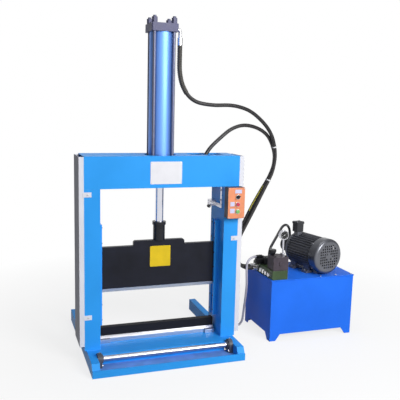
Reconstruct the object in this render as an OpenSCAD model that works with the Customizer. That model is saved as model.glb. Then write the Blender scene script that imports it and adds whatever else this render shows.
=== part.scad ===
// Vertical hydraulic bale cutter with its power pack.
// The origin is on the floor, under the middle of the front bar.
// X runs to the right, Y to the back and Z up, in millimetres.
// Depths are given from the front face of the posts, and the whole is set back to the origin.

/* [Gantry] */
// Width over both posts
frame_w = 1000; // [900:10:1100]
// Depth from the front face to the rear face
frame_d = 245; // [240:5:300]
// Width of each post
post_w = 98; // [80:2:110]
// Thickness of the frame plates
plate_t = 16; // [12:1:20]
// Height of the underside of the top beam
beam_z = 1097; // [1097:1:1200]
// Height of the top beam
beam_h = 198; // [180:2:240]
// Thickness of the plate that carries the cylinder
mount_t = 30; // [20:1:40]
// Thickness of the top cover of the beam
top_cover_t = 4; // [2:0.5:8]
// Length of the hose opening in the top cover
hose_slot_l = 220; // [180:5:260]
// Width of the hose opening in the top cover
hose_slot_w = 120; // [80:5:140]
// Distance of the hose opening from the middle
hose_slot_x = 200; // [180:5:230]
// Distance of the hose opening's middle behind the posts' front face
hose_slot_y = 155; // [145:1:160]

/* [Base] */
// Width over both skids
base_w = 976; // [900:4:1000]
// Width of each skid
skid_w = 48; // [40:1:60]
// Height of each skid
skid_h = 82; // [78:1:100]
// Wall of the skid tube
skid_wall = 6; // [4:0.5:10]
// Reach of the skids ahead of the posts
skid_front = 216; // [200:2:260]
// Reach of the skids behind the front of the posts
skid_rear = 795; // [600:5:1000]
// Length of the bevel on the skid nose
nose_l = 21; // [10:1:40]
// Thickness of the front bar
bar_t = 10; // [6:1:16]
// Height of the front bar
bar_h = 45; // [30:1:60]
// Thickness of the tray floor
tray_t = 6; // [3:0.5:10]
// Height of the tray floor's underside
tray_z = 14; // [8:1:24]
// Thickness of the deck plate and its apron
deck_t = 10; // [8:1:16]
// Reach of the deck ahead of the posts
deck_front = 78; // [70:1:80]
// Reach of the deck beside the bearing units
deck_notch = 60; // [40:1:62]

/* [Bed] */
// Gap between the cutting board's end and the post
board_gap = 14; // [8:1:40]
// Depth of the cutting board
board_d = 40; // [30:1:60]
// Height of the cutting board above the deck
board_h = 96; // [80:1:110]
// Thickness of the steel bed bars
bed_bar_t = 12; // [10:1:20]
// Height of the steel bed bars
bed_bar_h = 42; // [30:1:60]
// Height of the bevel on the bed bars
bed_bevel = 16; // [8:1:24]
// Length of the clamp lugs on the bed bars
lug_l = 64; // [40:2:90]
// Thickness of the clamp lugs
lug_t = 20; // [8:1:24]
// Height of the clamp lugs
lug_h = 26; // [16:1:40]

/* [Bale roller] */
// Diameter of the roller
roller_d = 34; // [26:1:36]
// Diameter of the roller's journals
journal_d = 20; // [14:1:24]
// Distance of the roller's axis ahead of the posts
roller_y = 100; // [96:1:130]
// Height of the roller's axis
roller_z = 65; // [60:1:75]
// Width of a bearing unit
bearing_w = 34; // [24:1:50]
// Radius of a bearing unit's eye
bearing_r = 37; // [24:1:38]
// Width of a bearing unit's foot
bearing_foot = 74; // [50:1:76]
// Diameter of the insert ring in a bearing unit
insert_d = 54; // [40:1:60]
// Reach of the insert ring out of a bearing unit
insert_l = 8; // [4:1:12]
// Gap between the roller's shoulder and the bearing unit
shoulder_gap = 4; // [1:0.5:10]

/* [Side covers] */
// Depth of a side cover
cover_d = 30; // [20:1:45]
// Width of a side cover
cover_w = 216; // [180:2:235]
// Sheet thickness of the covers
cover_t = 2; // [1:0.5:4]
// Height of the covers' lower edge
cover_z = 110; // [90:2:140]
// Height of the covers' upper edge
cover_top = 1292; // [1200:2:1295]
// Reach of a fixing tab over the post
tab_w = 45; // [30:1:60]
// Height of a fixing tab
tab_h = 30; // [20:1:40]
// Lap of a fixing tab on its cover
tab_lap = 8; // [4:1:16]
// Height of the upper tab on the left
tab_z_top = 1065; // [900:5:1100]
// Height of the lower tab on the left
tab_z_low = 297; // [200:1:500]
// Height of the tab on the right
tab_z_right = 754; // [500:1:860]
// Diameter of a cover screw's head
screw_d = 12; // [8:1:16]
// Height of a cover screw's head
screw_h = 5; // [3:0.5:8]

/* [Cylinder] */
// Distance of the cylinder's axis behind the posts' front face
axis_y = 125; // [118:1:135]
// Outer diameter of the tube
tube_d = 150; // [140:1:152]
// Bore of the tube
bore_d = 125; // [110:1:130]
// Side of the square cap and head
cap_w = 170; // [166:1:190]
// Thickness of the cap
cap_t = 49; // [36:1:60]
// Thickness of the head
head_t = 60; // [50:1:80]
// Height of the cap's upper face
cap_top = 2097; // [2000:1:2200]
// Bevel on the corners of the cap and head
cap_bevel = 8; // [4:1:12]
// Diameter of a tie rod
tie_d = 20; // [14:1:20]
// Half spacing of the tie rods
tie_half = 62; // [62:1:66]
// Height of a tie rod above the cap
tie_stud = 43; // [30:1:60]
// Height of a tie rod nut
nut_h = 34; // [16:1:38]
// Width of a tie rod nut across its corners
nut_d = 36; // [30:1:40]
// Diameter of the head's spigot in the mount plate
spigot_d = 92; // [80:1:110]
// Diameter of the piston rod
rod_d = 56; // [45:1:65]
// Length of the piston
piston_l = 60; // [40:1:80]
// Height of the piston's lower face as drawn
piston_z = 1560; // [1500:5:1700]
// Diameter of the oil ports
port_d = 18; // [12:1:20]
// Diameter of the port pipes
pipe_d = 22; // [18:1:26]
// Bend radius of the cap's port pipe
pipe_bend = 18; // [16:1:22]
// Length of a port pipe's collar
pipe_collar = 12; // [8:1:14]

/* [Ram and knife] */
// Height of the knife's edge as drawn
edge_z = 408; // [400:1:450]
// Height of the knife plate above its edge
knife_h = 302; // [260:1:310]
// Gap between the knife's end and the post
knife_gap = 12; // [10:1:20]
// Thickness of the knife
knife_t = 30; // [18:1:32]
// Height of the knife's bevel
bevel_h = 30; // [20:1:50]
// Half length of the knife's shoulder
shoulder_half = 170; // [120:2:220]
// Height of the shoulder above the knife plate
shoulder_h = 32; // [20:1:40]
// Radius of the shoulder's corners
shoulder_r = 14; // [6:1:18]
// Diameter of the rod coupling
coupling_d = 77; // [70:1:90]
// Length of the rod coupling
coupling_l = 121; // [100:1:125]
// Diameter of the collar on the coupling
collar_d = 88; // [80:1:100]
// Height of the collar on the coupling
collar_h = 20; // [10:1:30]
// Depth of the rod's seat in the coupling
seat_depth = 80; // [50:1:90]
// Depth of a knife guide from the post
guide_d = 26; // [22:1:34]
// Thickness of a guide's back
guide_back = 6; // [4:0.5:8]
// Thickness of a guide's cheek
guide_cheek = 18; // [10:1:24]
// Height of the guides' lower end
guide_z = 205; // [195:5:260]
// Height of the guides' upper end
guide_top = 860; // [800:5:930]

/* [Controls] */
// Reach of the control box past the post's outer side
box_over = 16; // [8:1:24]
// Width of the control box
box_w = 114; // [90:1:118]
// Depth of the control box
box_d = 60; // [40:1:80]
// Height of the control box's lower side
box_z = 898; // [880:1:950]
// Height of the control box
box_h = 199; // [170:1:205]
// Sheet thickness of the control box
box_t = 2; // [1:0.5:4]
// Thickness of the panel
panel_t = 3; // [2:0.5:5]
// Distance of the button column from the box's left side
button_x = 66; // [56:1:74]
// Height of the green button above the box's lower side
button_z = 45; // [30:1:55]
// Spacing of the buttons
button_pitch = 47; // [44:1:56]
// Diameter of a push button
button_d = 26; // [16:1:28]
// Height of a push button above its collar
button_h = 7; // [5:0.5:12]
// Edge radius of a push button
button_r = 4; // [1:0.5:5]
// Length of a push button's stem behind the panel
button_stem = 20; // [10:1:30]
// Diameter of the button collars
ring_d = 31; // [30:1:38]
// Height of the button collars
ring_h = 5; // [3:0.5:8]
// Diameter of the selector's grip plate
selector_d = 24; // [20:1:28]
// Height of the selector's bar
selector_h = 14; // [8:1:20]
// Width of the selector's bar
selector_bar = 8; // [5:0.5:12]
// Turn of the selector's bar as drawn in degrees
selector_turn = 50; // [0:5:90]
// Thickness of the selector's grip plate
grip_t = 4; // [2:0.5:6]
// Diameter of the selector's spindle
spindle_d = 8; // [5:0.5:10]

/* [Limit switch] */
// Height of the switch's lower side
switch_z = 948; // [940:1:980]
// Height of the switch
switch_h = 36; // [30:1:60]
// Depth of the switch from the post
switch_d = 36; // [28:1:44]
// Front of the switch body behind the posts' front face
switch_y = 152; // [150:1:165]
// Length of the switch body
switch_l = 72; // [50:1:76]
// Thickness of the switch's bracket
bracket_t = 4; // [2:0.5:6]
// Reach of the bracket ahead of the switch body
bracket_reach = 106; // [40:2:120]
// Height of the bracket's arm
bracket_w = 24; // [16:1:28]
// Width of the bracket's upright
bracket_leg = 22; // [12:1:30]
// Gap between the bracket's upright and the beam
bracket_drop = 10; // [4:1:30]
// Diameter of the lever's shaft
lever_shaft_d = 8; // [6:0.5:10]
// Diameter of the lever's hub
lever_hub_d = 16; // [12:1:20]
// Thickness of the lever
lever_t = 6; // [4:0.5:8]
// Sideways reach of the lever
lever_dx = 40; // [30:1:50]
// Drop of the lever
lever_dz = 16; // [12:1:30]
// Diameter of the lever's roller
wheel_d = 22; // [14:1:24]
// Width of the lever's roller
wheel_w = 16; // [10:1:20]
// Diameter of the lever's roller pin
wheel_pin_d = 6; // [4:0.5:8]
// Width of the lever's arm
lever_w = 9; // [6:1:11]
// Diameter of the lever's eye at its roller
lever_eye_d = 14; // [12:1:18]

/* [Hoses] */
// Diameter of the main hoses
hose_d = 25; // [18:1:26]
// Diameter of the pump's pressure hose
pump_hose_d = 20; // [14:1:22]
// Diameter of the control conduit
conduit_d = 16; // [10:1:18]
// Diameter of a hose ferrule
ferrule_d = 32; // [28:1:36]
// Length of a hose ferrule
ferrule_l = 46; // [30:1:60]
// Width of a fitting's hexagon across its corners
hex_d = 38; // [36:1:42]
// Length of a fitting's hexagon
hex_l = 16; // [10:1:20]
// Length of a port plug
plug_l = 18; // [10:1:24]
// Width of a port plug across its corners
plug_d = 30; // [24:1:34]
// Spacing of the port plugs
plug_pitch = 42; // [38:1:46]
// Straight length of the conduit at each end
conduit_l = 12; // [8:1:16]
// Straight length of the pressure hose at each end
pump_hose_l = 12; // [8:1:16]
// Height of the conduit's end above the floor
conduit_floor = 45; // [30:1:60]
// Distance of the conduit's end behind the posts' front face
conduit_back = 305; // [280:5:330]

/* [Tank] */
// Left side of the tank
tank_x = 773; // [760:1:900]
// Front of the tank
tank_y = 11; // [0:1:60]
// Width of the tank
tank_w = 644; // [600:2:720]
// Depth of the tank
tank_d = 430; // [400:2:500]
// Height of the tank with its lid
tank_h = 437; // [420:1:480]
// Wall of the tank
tank_t = 4; // [3:0.5:6]
// Height of the tank's feet
foot_h = 46; // [30:1:70]
// Width of the tank's feet
foot_w = 44; // [30:1:80]
// Slope of the tank's feet
foot_slope = 34; // [10:1:50]
// Thickness of the lid
lid_t = 6; // [4:0.5:10]
// Overhang of the lid
lid_lap = 4; // [0:0.5:10]
// Diameter of a lid screw's head
lid_screw_d = 14; // [10:1:18]
// Height of a lid screw's head
lid_screw_h = 7; // [4:0.5:10]
// Distance of the lid screws from the lid's edge
lid_inset = 14; // [10:1:16]

/* [Motor] */
// Distance of the fan cover's middle from the tank's left side
motor_x = 453; // [440:1:470]
// Distance of the fan cover behind the tank's front
motor_y = 29; // [20:1:50]
// Height of the motor's axis above the lid
motor_z = 134; // [134:1:150]
// Turn of the motor on the lid in degrees
motor_turn = 13; // [0:1:16]
// Diameter of the fan cover
fan_cover_d = 252; // [246:1:256]
// Length of the fan cover
fan_cover_l = 76; // [66:1:90]
// Wall of the fan cover
fan_cover_t = 2; // [1.5:0.5:4]
// Edge radius of the fan cover
fan_cover_r = 22; // [10:1:30]
// Side of a grille hole
hole_w = 12; // [6:0.5:14]
// Spacing of the grille holes
hole_pitch = 19; // [16:0.5:24]
// Lap of the fan cover on the end shield
cover_lap = 6; // [4:1:12]
// Diameter over the fins
fin_d = 244; // [236:1:246]
// Diameter of the motor's core
core_d = 208; // [200:1:216]
// Thickness of a fin
fin_t = 4; // [3:0.5:6]
// Number of fins around the motor
fin_count = 40; // [24:4:48]
// Length of the finned body
body_l = 230; // [200:2:260]
// Thickness of an end shield
shield_t = 22; // [16:1:30]
// Diameter of an end shield
shield_d = 228; // [216:1:234]
// Width of the lugs that carry the fan cover
shield_lug = 18; // [12:1:24]
// Diameter of the rotor
rotor_d = 150; // [130:1:160]
// Air gap around the rotor
air_gap = 0.6; // [0.4:0.1:2]
// Diameter of the motor's shaft
shaft_d = 38; // [28:1:44]
// Diameter of the cooling fan
fan_d = 210; // [180:2:220]
// Number of fan blades
blade_count = 7; // [5:1:9]
// Thickness of a fan blade
blade_t = 4; // [2:0.5:6]
// Thickness of the fan's hub
fan_hub_t = 17; // [10:1:24]
// Diameter of the fan's back plate
fan_back_d = 168; // [140:2:180]
// Gap before and behind the fan
fan_gap = 18; // [10:1:24]
// Width over the motor's feet
feet_w = 216; // [190:2:230]
// Thickness of the motor's feet
feet_t = 16; // [10:1:22]
// Length of each of the motor's feet
feet_l = 50; // [36:1:60]
// Distance of the feet from the ends of the finned body
feet_inset = 20; // [10:1:30]
// Inner edge of the motor's feet from the axis
feet_in = 50; // [40:1:60]
// Thickness of the ribs above the feet
feet_rib = 22; // [14:1:30]
// Width of the terminal box
terminal_w = 60; // [50:1:90]
// Length of the terminal box
terminal_l = 52; // [44:1:90]
// Height of the terminal box
terminal_h = 74; // [60:1:90]
// Height of the terminal box above the motor's axis
terminal_z = 132; // [126:1:140]
// Distance of the terminal box's middle from the fan cover's face
terminal_y = 300; // [280:1:310]
// Distance of the terminal box to the left of the motor's axis
terminal_x = 36; // [0:1:40]
// Thickness of the terminal box's lid
terminal_lid = 16; // [10:1:24]
// Lap of the terminal box's lid
terminal_lap = 3; // [0:0.5:5]
// Diameter of the bell housing
bell_d = 150; // [130:1:170]
// Length of the bell housing
bell_l = 44; // [40:1:60]
// Bore of the bell housing
bell_bore = 90; // [70:1:100]
// Diameter of the pump
pump_d = 110; // [100:1:130]
// Length of the pump
pump_l = 84; // [70:1:100]
// Thickness of the pump's flange
flange_t = 14; // [10:1:20]
// Height of the pressure boss above the pump
boss_h = 12; // [8:1:20]

/* [Valves] */
// Distance of the manifold from the tank's left side
manifold_x = 7; // [4:1:20]
// Distance of the manifold from the tank's front
manifold_y = 9; // [4:1:20]
// Width of the manifold
manifold_w = 115; // [112:1:130]
// Length of the manifold
manifold_l = 322; // [316:1:340]
// Height of the manifold
manifold_h = 62; // [50:1:70]
// Width of the relief valve
relief_w = 112; // [100:1:115]
// Length of the relief valve
relief_l = 96; // [80:1:104]
// Height of the relief valve
relief_h = 96; // [80:1:110]
// Bevel along the relief valve's upper edges
relief_bevel = 6; // [2:0.5:8]
// Length of the plug on the relief valve's front
relief_plug = 6; // [3:0.5:8]
// Diameter of the relief knob
knob_d = 52; // [40:1:56]
// Diameter of the relief knob's neck
knob_neck = 30; // [24:1:36]
// Height of the relief knob's rim
knob_rim = 16; // [8:1:20]
// Height of the relief knob
knob_h = 40; // [25:1:50]
// Diameter of the relief valve's adjusting screw
screw_shaft_d = 12; // [8:1:16]
// Width of the directional valve
valve_w = 62; // [50:1:66]
// Length of the directional valve's body
valve_l = 76; // [60:1:80]
// Height of the directional valve's body
valve_h = 50; // [46:1:70]
// Bevel along the directional valve's upper edges
valve_bevel = 5; // [2:0.5:8]
// Length of a solenoid
solenoid_l = 54; // [44:1:56]
// Width of a solenoid
solenoid_w = 42; // [38:1:50]
// Corner radius of a solenoid
solenoid_r = 12; // [6:1:18]
// Diameter of the nut on a solenoid's end
coil_nut_d = 26; // [18:1:32]
// Length of the nut on a solenoid's end
coil_nut_l = 8; // [4:1:10]
// Diameter of the pressure gauge
gauge_d = 66; // [50:1:70]
// Depth of the pressure gauge
gauge_t = 28; // [20:1:36]
// Height of the gauge's middle above the relief valve
gauge_z = 145; // [120:1:160]
// Diameter of the gauge's stem
stem_d = 14; // [10:1:18]
// Width of the gauge's rim
gauge_rim = 4; // [2:0.5:6]
// Inset of the relief valve on the manifold
relief_inset = 8; // [2:1:10]
// Distance of the directional valve's middle from the manifold's left side
valve_inset = 60; // [50:1:70]
// Gap between the relief valve and the directional valve
valve_gap = 75; // [60:1:80]
// Depth of the adjusting screw in the relief valve
screw_depth = 36; // [20:1:50]
// Height of a solenoid above the manifold
solenoid_z = 4; // [2:1:10]
// Height of a solenoid's plug
plug_h = 20; // [18:1:36]
// Inset of a solenoid's plug from its sides
plug_inset = 8; // [6:1:10]

/* [Hidden] */
$fn = 64;
// Radial clearance of a shaft that turns or slides in its bore
run = 0.05;
// Radial clearance of a fixed piece in its hole
fit = 0.2;
// Sliding clearance of the knife in its guides
slide = 0.5;
// Gap between faces that turn past each other
turn_gap = 0.4;
// Cut-through allowance
eps = 1;
// Room between the top cover and the tie rods
tie_room = 4;

beam_top = beam_z + beam_h;
post_in = frame_w / 2 - post_w;
knife_half = post_in - knife_gap;
board_half = post_in - board_gap;
box_x = frame_w / 2 + box_over - box_w;
skid_in = base_w / 2 - skid_w;
deck_z = skid_h;
mount_top = beam_z + mount_t;
head_top = mount_top + head_t;
cap_z = cap_top - cap_t;
head_port_z = mount_top + head_t / 2;
cap_port_z = cap_top - cap_t / 2;
knife_y = axis_y - knife_t / 2;
knife_edge_y = axis_y + knife_t / 2;
knife_top = edge_z + knife_h;
shoulder_top = knife_top + shoulder_h;
coupling_top = shoulder_top + coupling_l;
rod_z = coupling_top - seat_depth;
oil_x = (rod_d + bore_d) / 4;
board_y = knife_edge_y - board_d / 2;
bearing_in = skid_in - bearing_w;
roller_half = bearing_in - shoulder_gap;
button_place = box_x + button_x;
panel_y = -box_d - panel_t;
collar_y = panel_y - ring_h;
green_z = box_z + button_z;
red_z = green_z + button_pitch;
selector_z = red_z + button_pitch;
lever_x = post_in - switch_d / 2;
lever_z = switch_z + switch_h / 2;
wheel_x = lever_x - lever_dx;
wheel_z = lever_z - lever_dz;
lever_y = switch_y - turn_gap - lever_t;
lid_z = tank_h - lid_t;
shield_y = fan_cover_l - cover_lap;
body_y = shield_y + shield_t;
drive_y = body_y + body_l;
bell_y = drive_y + shield_t;
pump_y = bell_y + bell_l;
pump_mid = pump_y + pump_l / 2;
manifold_left = tank_x + manifold_x;
manifold_front = tank_y + manifold_y;
manifold_top = tank_h + manifold_h;
relief_x = manifold_left + relief_inset;
relief_y = manifold_front + relief_inset;
relief_top = manifold_top + relief_h;
valve_x = manifold_left + valve_inset;
valve_y = relief_y + relief_l + valve_gap + valve_w / 2;
knob_x = relief_x + relief_bevel + knob_neck / 2;
knob_y = relief_y + relief_l - knob_d / 2;
gauge_x = relief_x + relief_w - relief_bevel - plug_d / 2;
gauge_y = relief_y + relief_l / 2;

// Where the upper hose runs, from the cap to the manifold
upper_route = [
    [118, 125, 1975], [118, 125, 1905], [119, 125, 1830], [130, 125, 1765], [150, 127, 1715],
    [184, 130, 1667], [232, 135, 1635], [290, 140, 1620], [375, 150, 1613], [480, 165, 1615],
    [565, 180, 1604], [645, 200, 1579], [720, 220, 1535], [790, 235, 1475], [840, 250, 1410],
    [868, 260, 1340], [879, 265, 1276], [878, 270, 1218], [867, 275, 1155], [844, 280, 1096],
    [811, 286, 1025], [757, 294, 910], [702, 299, 800], [650, 297, 702], [628, 290, 660],
    [612, 278, 618], [606, 266, 573], [611, 257, 541], [626, 252, 511], [649, 250, 488],
    [679, 250, 473], [711, 250, 468], [734, 250, 468]];
// Where the lower hose runs, from the cylinder's head to the manifold
lower_route = [
    [170, 125, 1157], [186, 125, 1157], [219, 127, 1162], [251, 133, 1177], [279, 142, 1205],
    [301, 151, 1247], [326, 158, 1299], [366, 167, 1347], [454, 185, 1419], [508, 196, 1455], [564, 207, 1476],
    [614, 218, 1483], [665, 229, 1479], [720, 242, 1465], [773, 258, 1442], [818, 273, 1410],
    [850, 285, 1370], [872, 292, 1328], [886, 294, 1281], [889, 297, 1238], [884, 300, 1191],
    [866, 304, 1137], [840, 308, 1083], [800, 314, 1014], [742, 320, 908], [687, 324, 796],
    [635, 321, 700], [615, 318, 658], [604, 315, 618], [602, 313, 573], [608, 311, 541],
    [624, 310, 511], [648, 310, 488], [679, 310, 473], [711, 310, 468], [734, 310, 468]];
// Where the control conduit runs, from the left solenoid's plug to the right skid
conduit_start = [
    valve_x - valve_l / 2 - solenoid_l + plug_inset, valve_y,
    manifold_top + solenoid_z + solenoid_w + plug_h / 2];
conduit_end = [base_w / 2, conduit_back, conduit_floor];
conduit_route = concat([conduit_start, conduit_start - [conduit_l, 0, 0]], [
    [726, 230, 553], [709, 229, 546], [694, 228, 535], [683, 226, 520], [676, 224, 503],
    [674, 222, 483], [674, 219, 440], [676, 218, 395], [679, 222, 350], [681, 233, 296],
    [684, 250, 236], [686, 268, 176], [687, 282, 124], [687, 290, 86], [685, 293, 66],
    [678, 296, 48], [667, 298, 34], [652, 300, 23], [635, 301, 16], [617, 302, 13],
    [598, 303, 13], [573, 304, 17], [548, 304, 29], [523, 305, 41]],
    [conduit_end + [conduit_l, 0, 0], conduit_end]);
// Where the pressure hose runs, from the pump to the manifold
pump_hose_end = [880, 292, 532];
pump_hose_start = [
    tank_x + motor_x - sin(motor_turn) * pump_mid, tank_y + motor_y + cos(motor_turn) * pump_mid,
    tank_h + motor_z + pump_d / 2 + boss_h];
pump_route = concat([pump_hose_start, pump_hose_start + [0, 0, pump_hose_l]], [
    [1125, 456, 679], [1113, 448, 704], [1094, 435, 723], [1071, 420, 733], [1046, 403, 733],
    [1023, 388, 723], [1004, 375, 707], [965, 349, 668], [907, 310, 612], [892, 300, 592],
    [883, 294, 568]],
    [pump_hose_end + [0, 0, pump_hose_l], pump_hose_end]);

frame_blue = [0.16, 0.55, 0.95];
tank_blue = [0.14, 0.38, 0.95];
steel = [0.75, 0.75, 0.78];
dark_steel = [0.28, 0.28, 0.30];
black = [0.10, 0.10, 0.12];
sheet_grey = [0.86, 0.86, 0.88];

// A box between two corners
module block(low, high) {
    translate(low) cube(high - low);
}

// A round bar along X, Y or Z from a point
module bar_x(at, d, l) {
    translate(at) rotate([0, 90, 0]) cylinder(d = d, h = l);
}

module bar_y(at, d, l) {
    translate(at) rotate([-90, 0, 0]) cylinder(d = d, h = l);
}

module bar_z(at, d, l) {
    translate(at) cylinder(d = d, h = l);
}

// A profile drawn in Y and Z, drawn out along X
module along_x(from, to) {
    translate([from, 0, 0]) rotate([90, 0, 90]) linear_extrude(to - from) children();
}

// A profile drawn in X and Z, drawn out along Y
module along_y(from, to) {
    translate([0, to, 0]) rotate([90, 0, 0]) linear_extrude(to - from) children();
}

// The whole set back so that the origin lies under the front bar
module placed() {
    translate([0, skid_front + bar_t / 2, 0]) children();
}

// A square with cut corners, in the plane
module cut_square(w, cut) {
    intersection() {
        square(w, center = true);
        rotate(45) square(sqrt(2) * (w - cut), center = true);
    }
}

// A rectangle with round corners, from its lower left corner
module round_rect(w, h, r) {
    translate([r, 0]) square([w - 2 * r, h]);
    translate([0, r]) square([w, h - 2 * r]);
    for (x = [r, w - r], y = [r, h - r]) translate([x, y]) circle(r);
}

// A block along Y with bevelled upper edges
module bevelled(low, high, bevel) {
    along_y(low[1], high[1]) polygon([[low[0], low[2]], [low[0], high[2] - bevel], [low[0] + bevel, high[2]],
        [high[0] - bevel, high[2]], [high[0], high[2] - bevel], [high[0], low[2]]]);
}

// A copy on each side of the machine
module both_sides() {
    children();
    mirror([1, 0, 0]) children();
}

// A copy at each tie rod
module at_ties() {
    for (x = [-1, 1], y = [-1, 1]) translate([x * tie_half, axis_y + y * tie_half, 0]) children();
}

// The motor's own frame, with its axis along Y from the fan cover
module at_motor() {
    translate([tank_x + motor_x, tank_y + motor_y, tank_h + motor_z]) rotate([0, 0, motor_turn]) children();
}

function unit(v) = v / norm(v);
function heading(p, i) = unit(p[min(i + 1, len(p) - 1)] - p[max(i - 1, 0)]);
function ring(at, t, r, n) =
    let (s = unit(cross(t, [0, 1, 0])), u = cross(s, t))
    [for (k = [0:n - 1]) at + r * (cos(360 * k / n) * s + sin(360 * k / n) * u)];

// A round tube swept along a route, one ring at each point
module hose(route, d, n = 10) {
    rings = [for (i = [0:len(route) - 1]) each ring(route[i], heading(route, i), d / 2, n)];
    last = n * (len(route) - 1);
    near = [for (i = [0:len(route) - 2], k = [0:n - 1]) [i * n + k, i * n + (k + 1) % n, i * n + n + k]];
    far = [for (i = [0:len(route) - 2], k = [0:n - 1])
        [i * n + (k + 1) % n, i * n + n + (k + 1) % n, i * n + n + k]];
    first_cap = [for (k = [n - 1:-1:0]) k];
    last_cap = [for (k = [0:n - 1]) last + k];
    polyhedron(rings, concat(near, far, [first_cap], [last_cap]));
}

// One skid tube with a bevelled nose, open at the rear
module skid() {
    difference() {
        along_x(skid_in, skid_in + skid_w)
            polygon([[-skid_front, 0], [-skid_front, bar_h], [nose_l - skid_front, skid_h],
                [skid_rear, skid_h], [skid_rear, 0]]);
        block([skid_in + skid_wall, nose_l - skid_front, skid_wall],
            [skid_in + skid_w - skid_wall, skid_rear + eps, skid_h - skid_wall]);
    }
}

module left_skid() {
    placed() color(frame_blue) mirror([1, 0, 0]) skid();
}

module right_skid() {
    placed() color(frame_blue) skid();
}

module front_bar() {
    placed() color(frame_blue) block([-base_w / 2, -skid_front - bar_t, 0], [base_w / 2, -skid_front, bar_h]);
}

module tray_floor() {
    placed() color(frame_blue)
        block([-skid_in, -skid_front, tray_z], [skid_in, -deck_front, tray_z + tray_t]);
}

// Deck between the skids with an apron behind the roller, notched for the bearing units
module deck_plate() {
    notch_half = bearing_in - shoulder_gap;
    placed() color(frame_blue) {
        block([-skid_in, -deck_notch, deck_z - deck_t], [skid_in, frame_d, deck_z]);
        block([-notch_half, -deck_front, deck_z - deck_t], [notch_half, -deck_notch, deck_z]);
        block([-notch_half, -deck_front, tray_z], [notch_half, deck_t - deck_front, deck_z]);
    }
}

// Channel post with its web on the inside
module post() {
    translate([0, 0, deck_z]) linear_extrude(beam_z - deck_z) difference() {
        translate([post_in, 0]) square([post_w, frame_d]);
        translate([post_in + plate_t, plate_t]) square([post_w, frame_d - 2 * plate_t]);
    }
}

module left_post() {
    placed() color(frame_blue) mirror([1, 0, 0]) post();
}

module right_post() {
    placed() color(frame_blue) post();
}

module beam_front_plate() {
    placed() color(frame_blue) block([-frame_w / 2, 0, beam_z], [frame_w / 2, plate_t, beam_top]);
}

module beam_rear_plate() {
    placed() color(frame_blue)
        block([-frame_w / 2, frame_d - plate_t, beam_z], [frame_w / 2, frame_d, beam_top]);
}

module cylinder_mount_plate() {
    placed() color(frame_blue) difference() {
        block([-frame_w / 2, plate_t, beam_z], [frame_w / 2, frame_d - plate_t, mount_top]);
        bar_z([0, axis_y, beam_z - eps], spigot_d + 2 * fit, mount_t + 2 * eps);
    }
}

// Sheet over the beam, open round the cylinder and where the lower hose comes out
module beam_top_cover() {
    low = beam_top - top_cover_t;
    hole_d = 2 * norm([tie_half, tie_half]) + tie_d + 2 * tie_room;
    placed() color(frame_blue) difference() {
        block([-frame_w / 2, plate_t, low], [frame_w / 2, frame_d - plate_t, beam_top]);
        bar_z([0, axis_y, low - eps], hole_d, top_cover_t + 2 * eps);
        block([hose_slot_x, hose_slot_y - hose_slot_w / 2, low - eps],
            [hose_slot_x + hose_slot_l, hose_slot_y + hose_slot_w / 2, beam_top + eps]);
    }
}

// Folded sheet tray over the open side of a post, with front tabs at the given heights
module side_cover(tab_heights) {
    outer = frame_w / 2 + cover_d;
    difference() {
        block([frame_w / 2, 0, cover_z], [outer, cover_w, cover_top]);
        block([frame_w / 2 - eps, cover_t, cover_z + cover_t],
            [outer - cover_t, cover_w - cover_t, cover_top + eps]);
    }
    for (z = tab_heights)
        block([frame_w / 2 - tab_w, -cover_t, z - tab_h / 2], [frame_w / 2 + tab_lap, 0, z + tab_h / 2]);
}

module left_side_cover() {
    placed() color(sheet_grey) mirror([1, 0, 0]) side_cover([tab_z_top, tab_z_low]);
}

module right_side_cover() {
    placed() color(sheet_grey) side_cover([tab_z_right]);
}

// Hexagon screws on the cover tabs
module cover_screws() {
    x = frame_w / 2 - tab_w / 2;
    placed() color(steel) for (p = [[-x, tab_z_top], [-x, tab_z_low], [x, tab_z_right]])
        translate([p[0], -cover_t - screw_h, p[1]]) rotate([-90, 0, 0])
            cylinder(d = screw_d, h = screw_h, $fn = 6);
}

// Slotted guide on the inner face of each post
module knife_guides() {
    front = knife_y - slide - guide_cheek;
    rear = knife_edge_y + slide + guide_cheek;
    placed() color(frame_blue) both_sides() translate([0, 0, guide_z]) linear_extrude(guide_top - guide_z)
        difference() {
            translate([post_in - guide_d, front]) square([guide_d, rear - front]);
            translate([post_in - guide_d - eps, knife_y - slide])
                square([guide_d - guide_back + eps, knife_t + 2 * slide]);
        }
}

// A bevelled bar in front of the board and one behind it, with clamp lugs at the ends
module bed_bars() {
    placed() color(steel) translate([0, board_y + board_d / 2, 0]) for (turn = [0, 180])
        rotate([0, 0, turn]) translate([0, -board_d / 2 - bed_bar_t, 0]) {
            along_x(-board_half, board_half)
                polygon([[0, deck_z], [0, deck_z + bed_bar_h - bed_bevel],
                    [bed_bar_t, deck_z + bed_bar_h], [bed_bar_t, deck_z]]);
            for (x = [-board_half, board_half - lug_l])
                block([x, -lug_t, deck_z], [x + lug_l, 0, deck_z + lug_h]);
        }
}

module cutting_board() {
    placed() color(black)
        block([-board_half, board_y, deck_z], [board_half, board_y + board_d, deck_z + board_h]);
}

// Bearing unit on the inner side of each skid, with its insert ring towards the roller
module roller_bearings() {
    foot_z = tray_z + tray_t;
    placed() color(dark_steel) both_sides() difference() {
        union() {
            along_x(bearing_in + insert_l, skid_in) {
                translate([-roller_y - bearing_foot / 2, foot_z]) square([bearing_foot, roller_z - foot_z]);
                translate([-roller_y, roller_z]) circle(bearing_r);
            }
            bar_x([bearing_in, -roller_y, roller_z], insert_d, bearing_w);
        }
        bar_x([bearing_in - eps, -roller_y, roller_z], journal_d + 2 * run, bearing_w + 2 * eps);
    }
}

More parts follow.
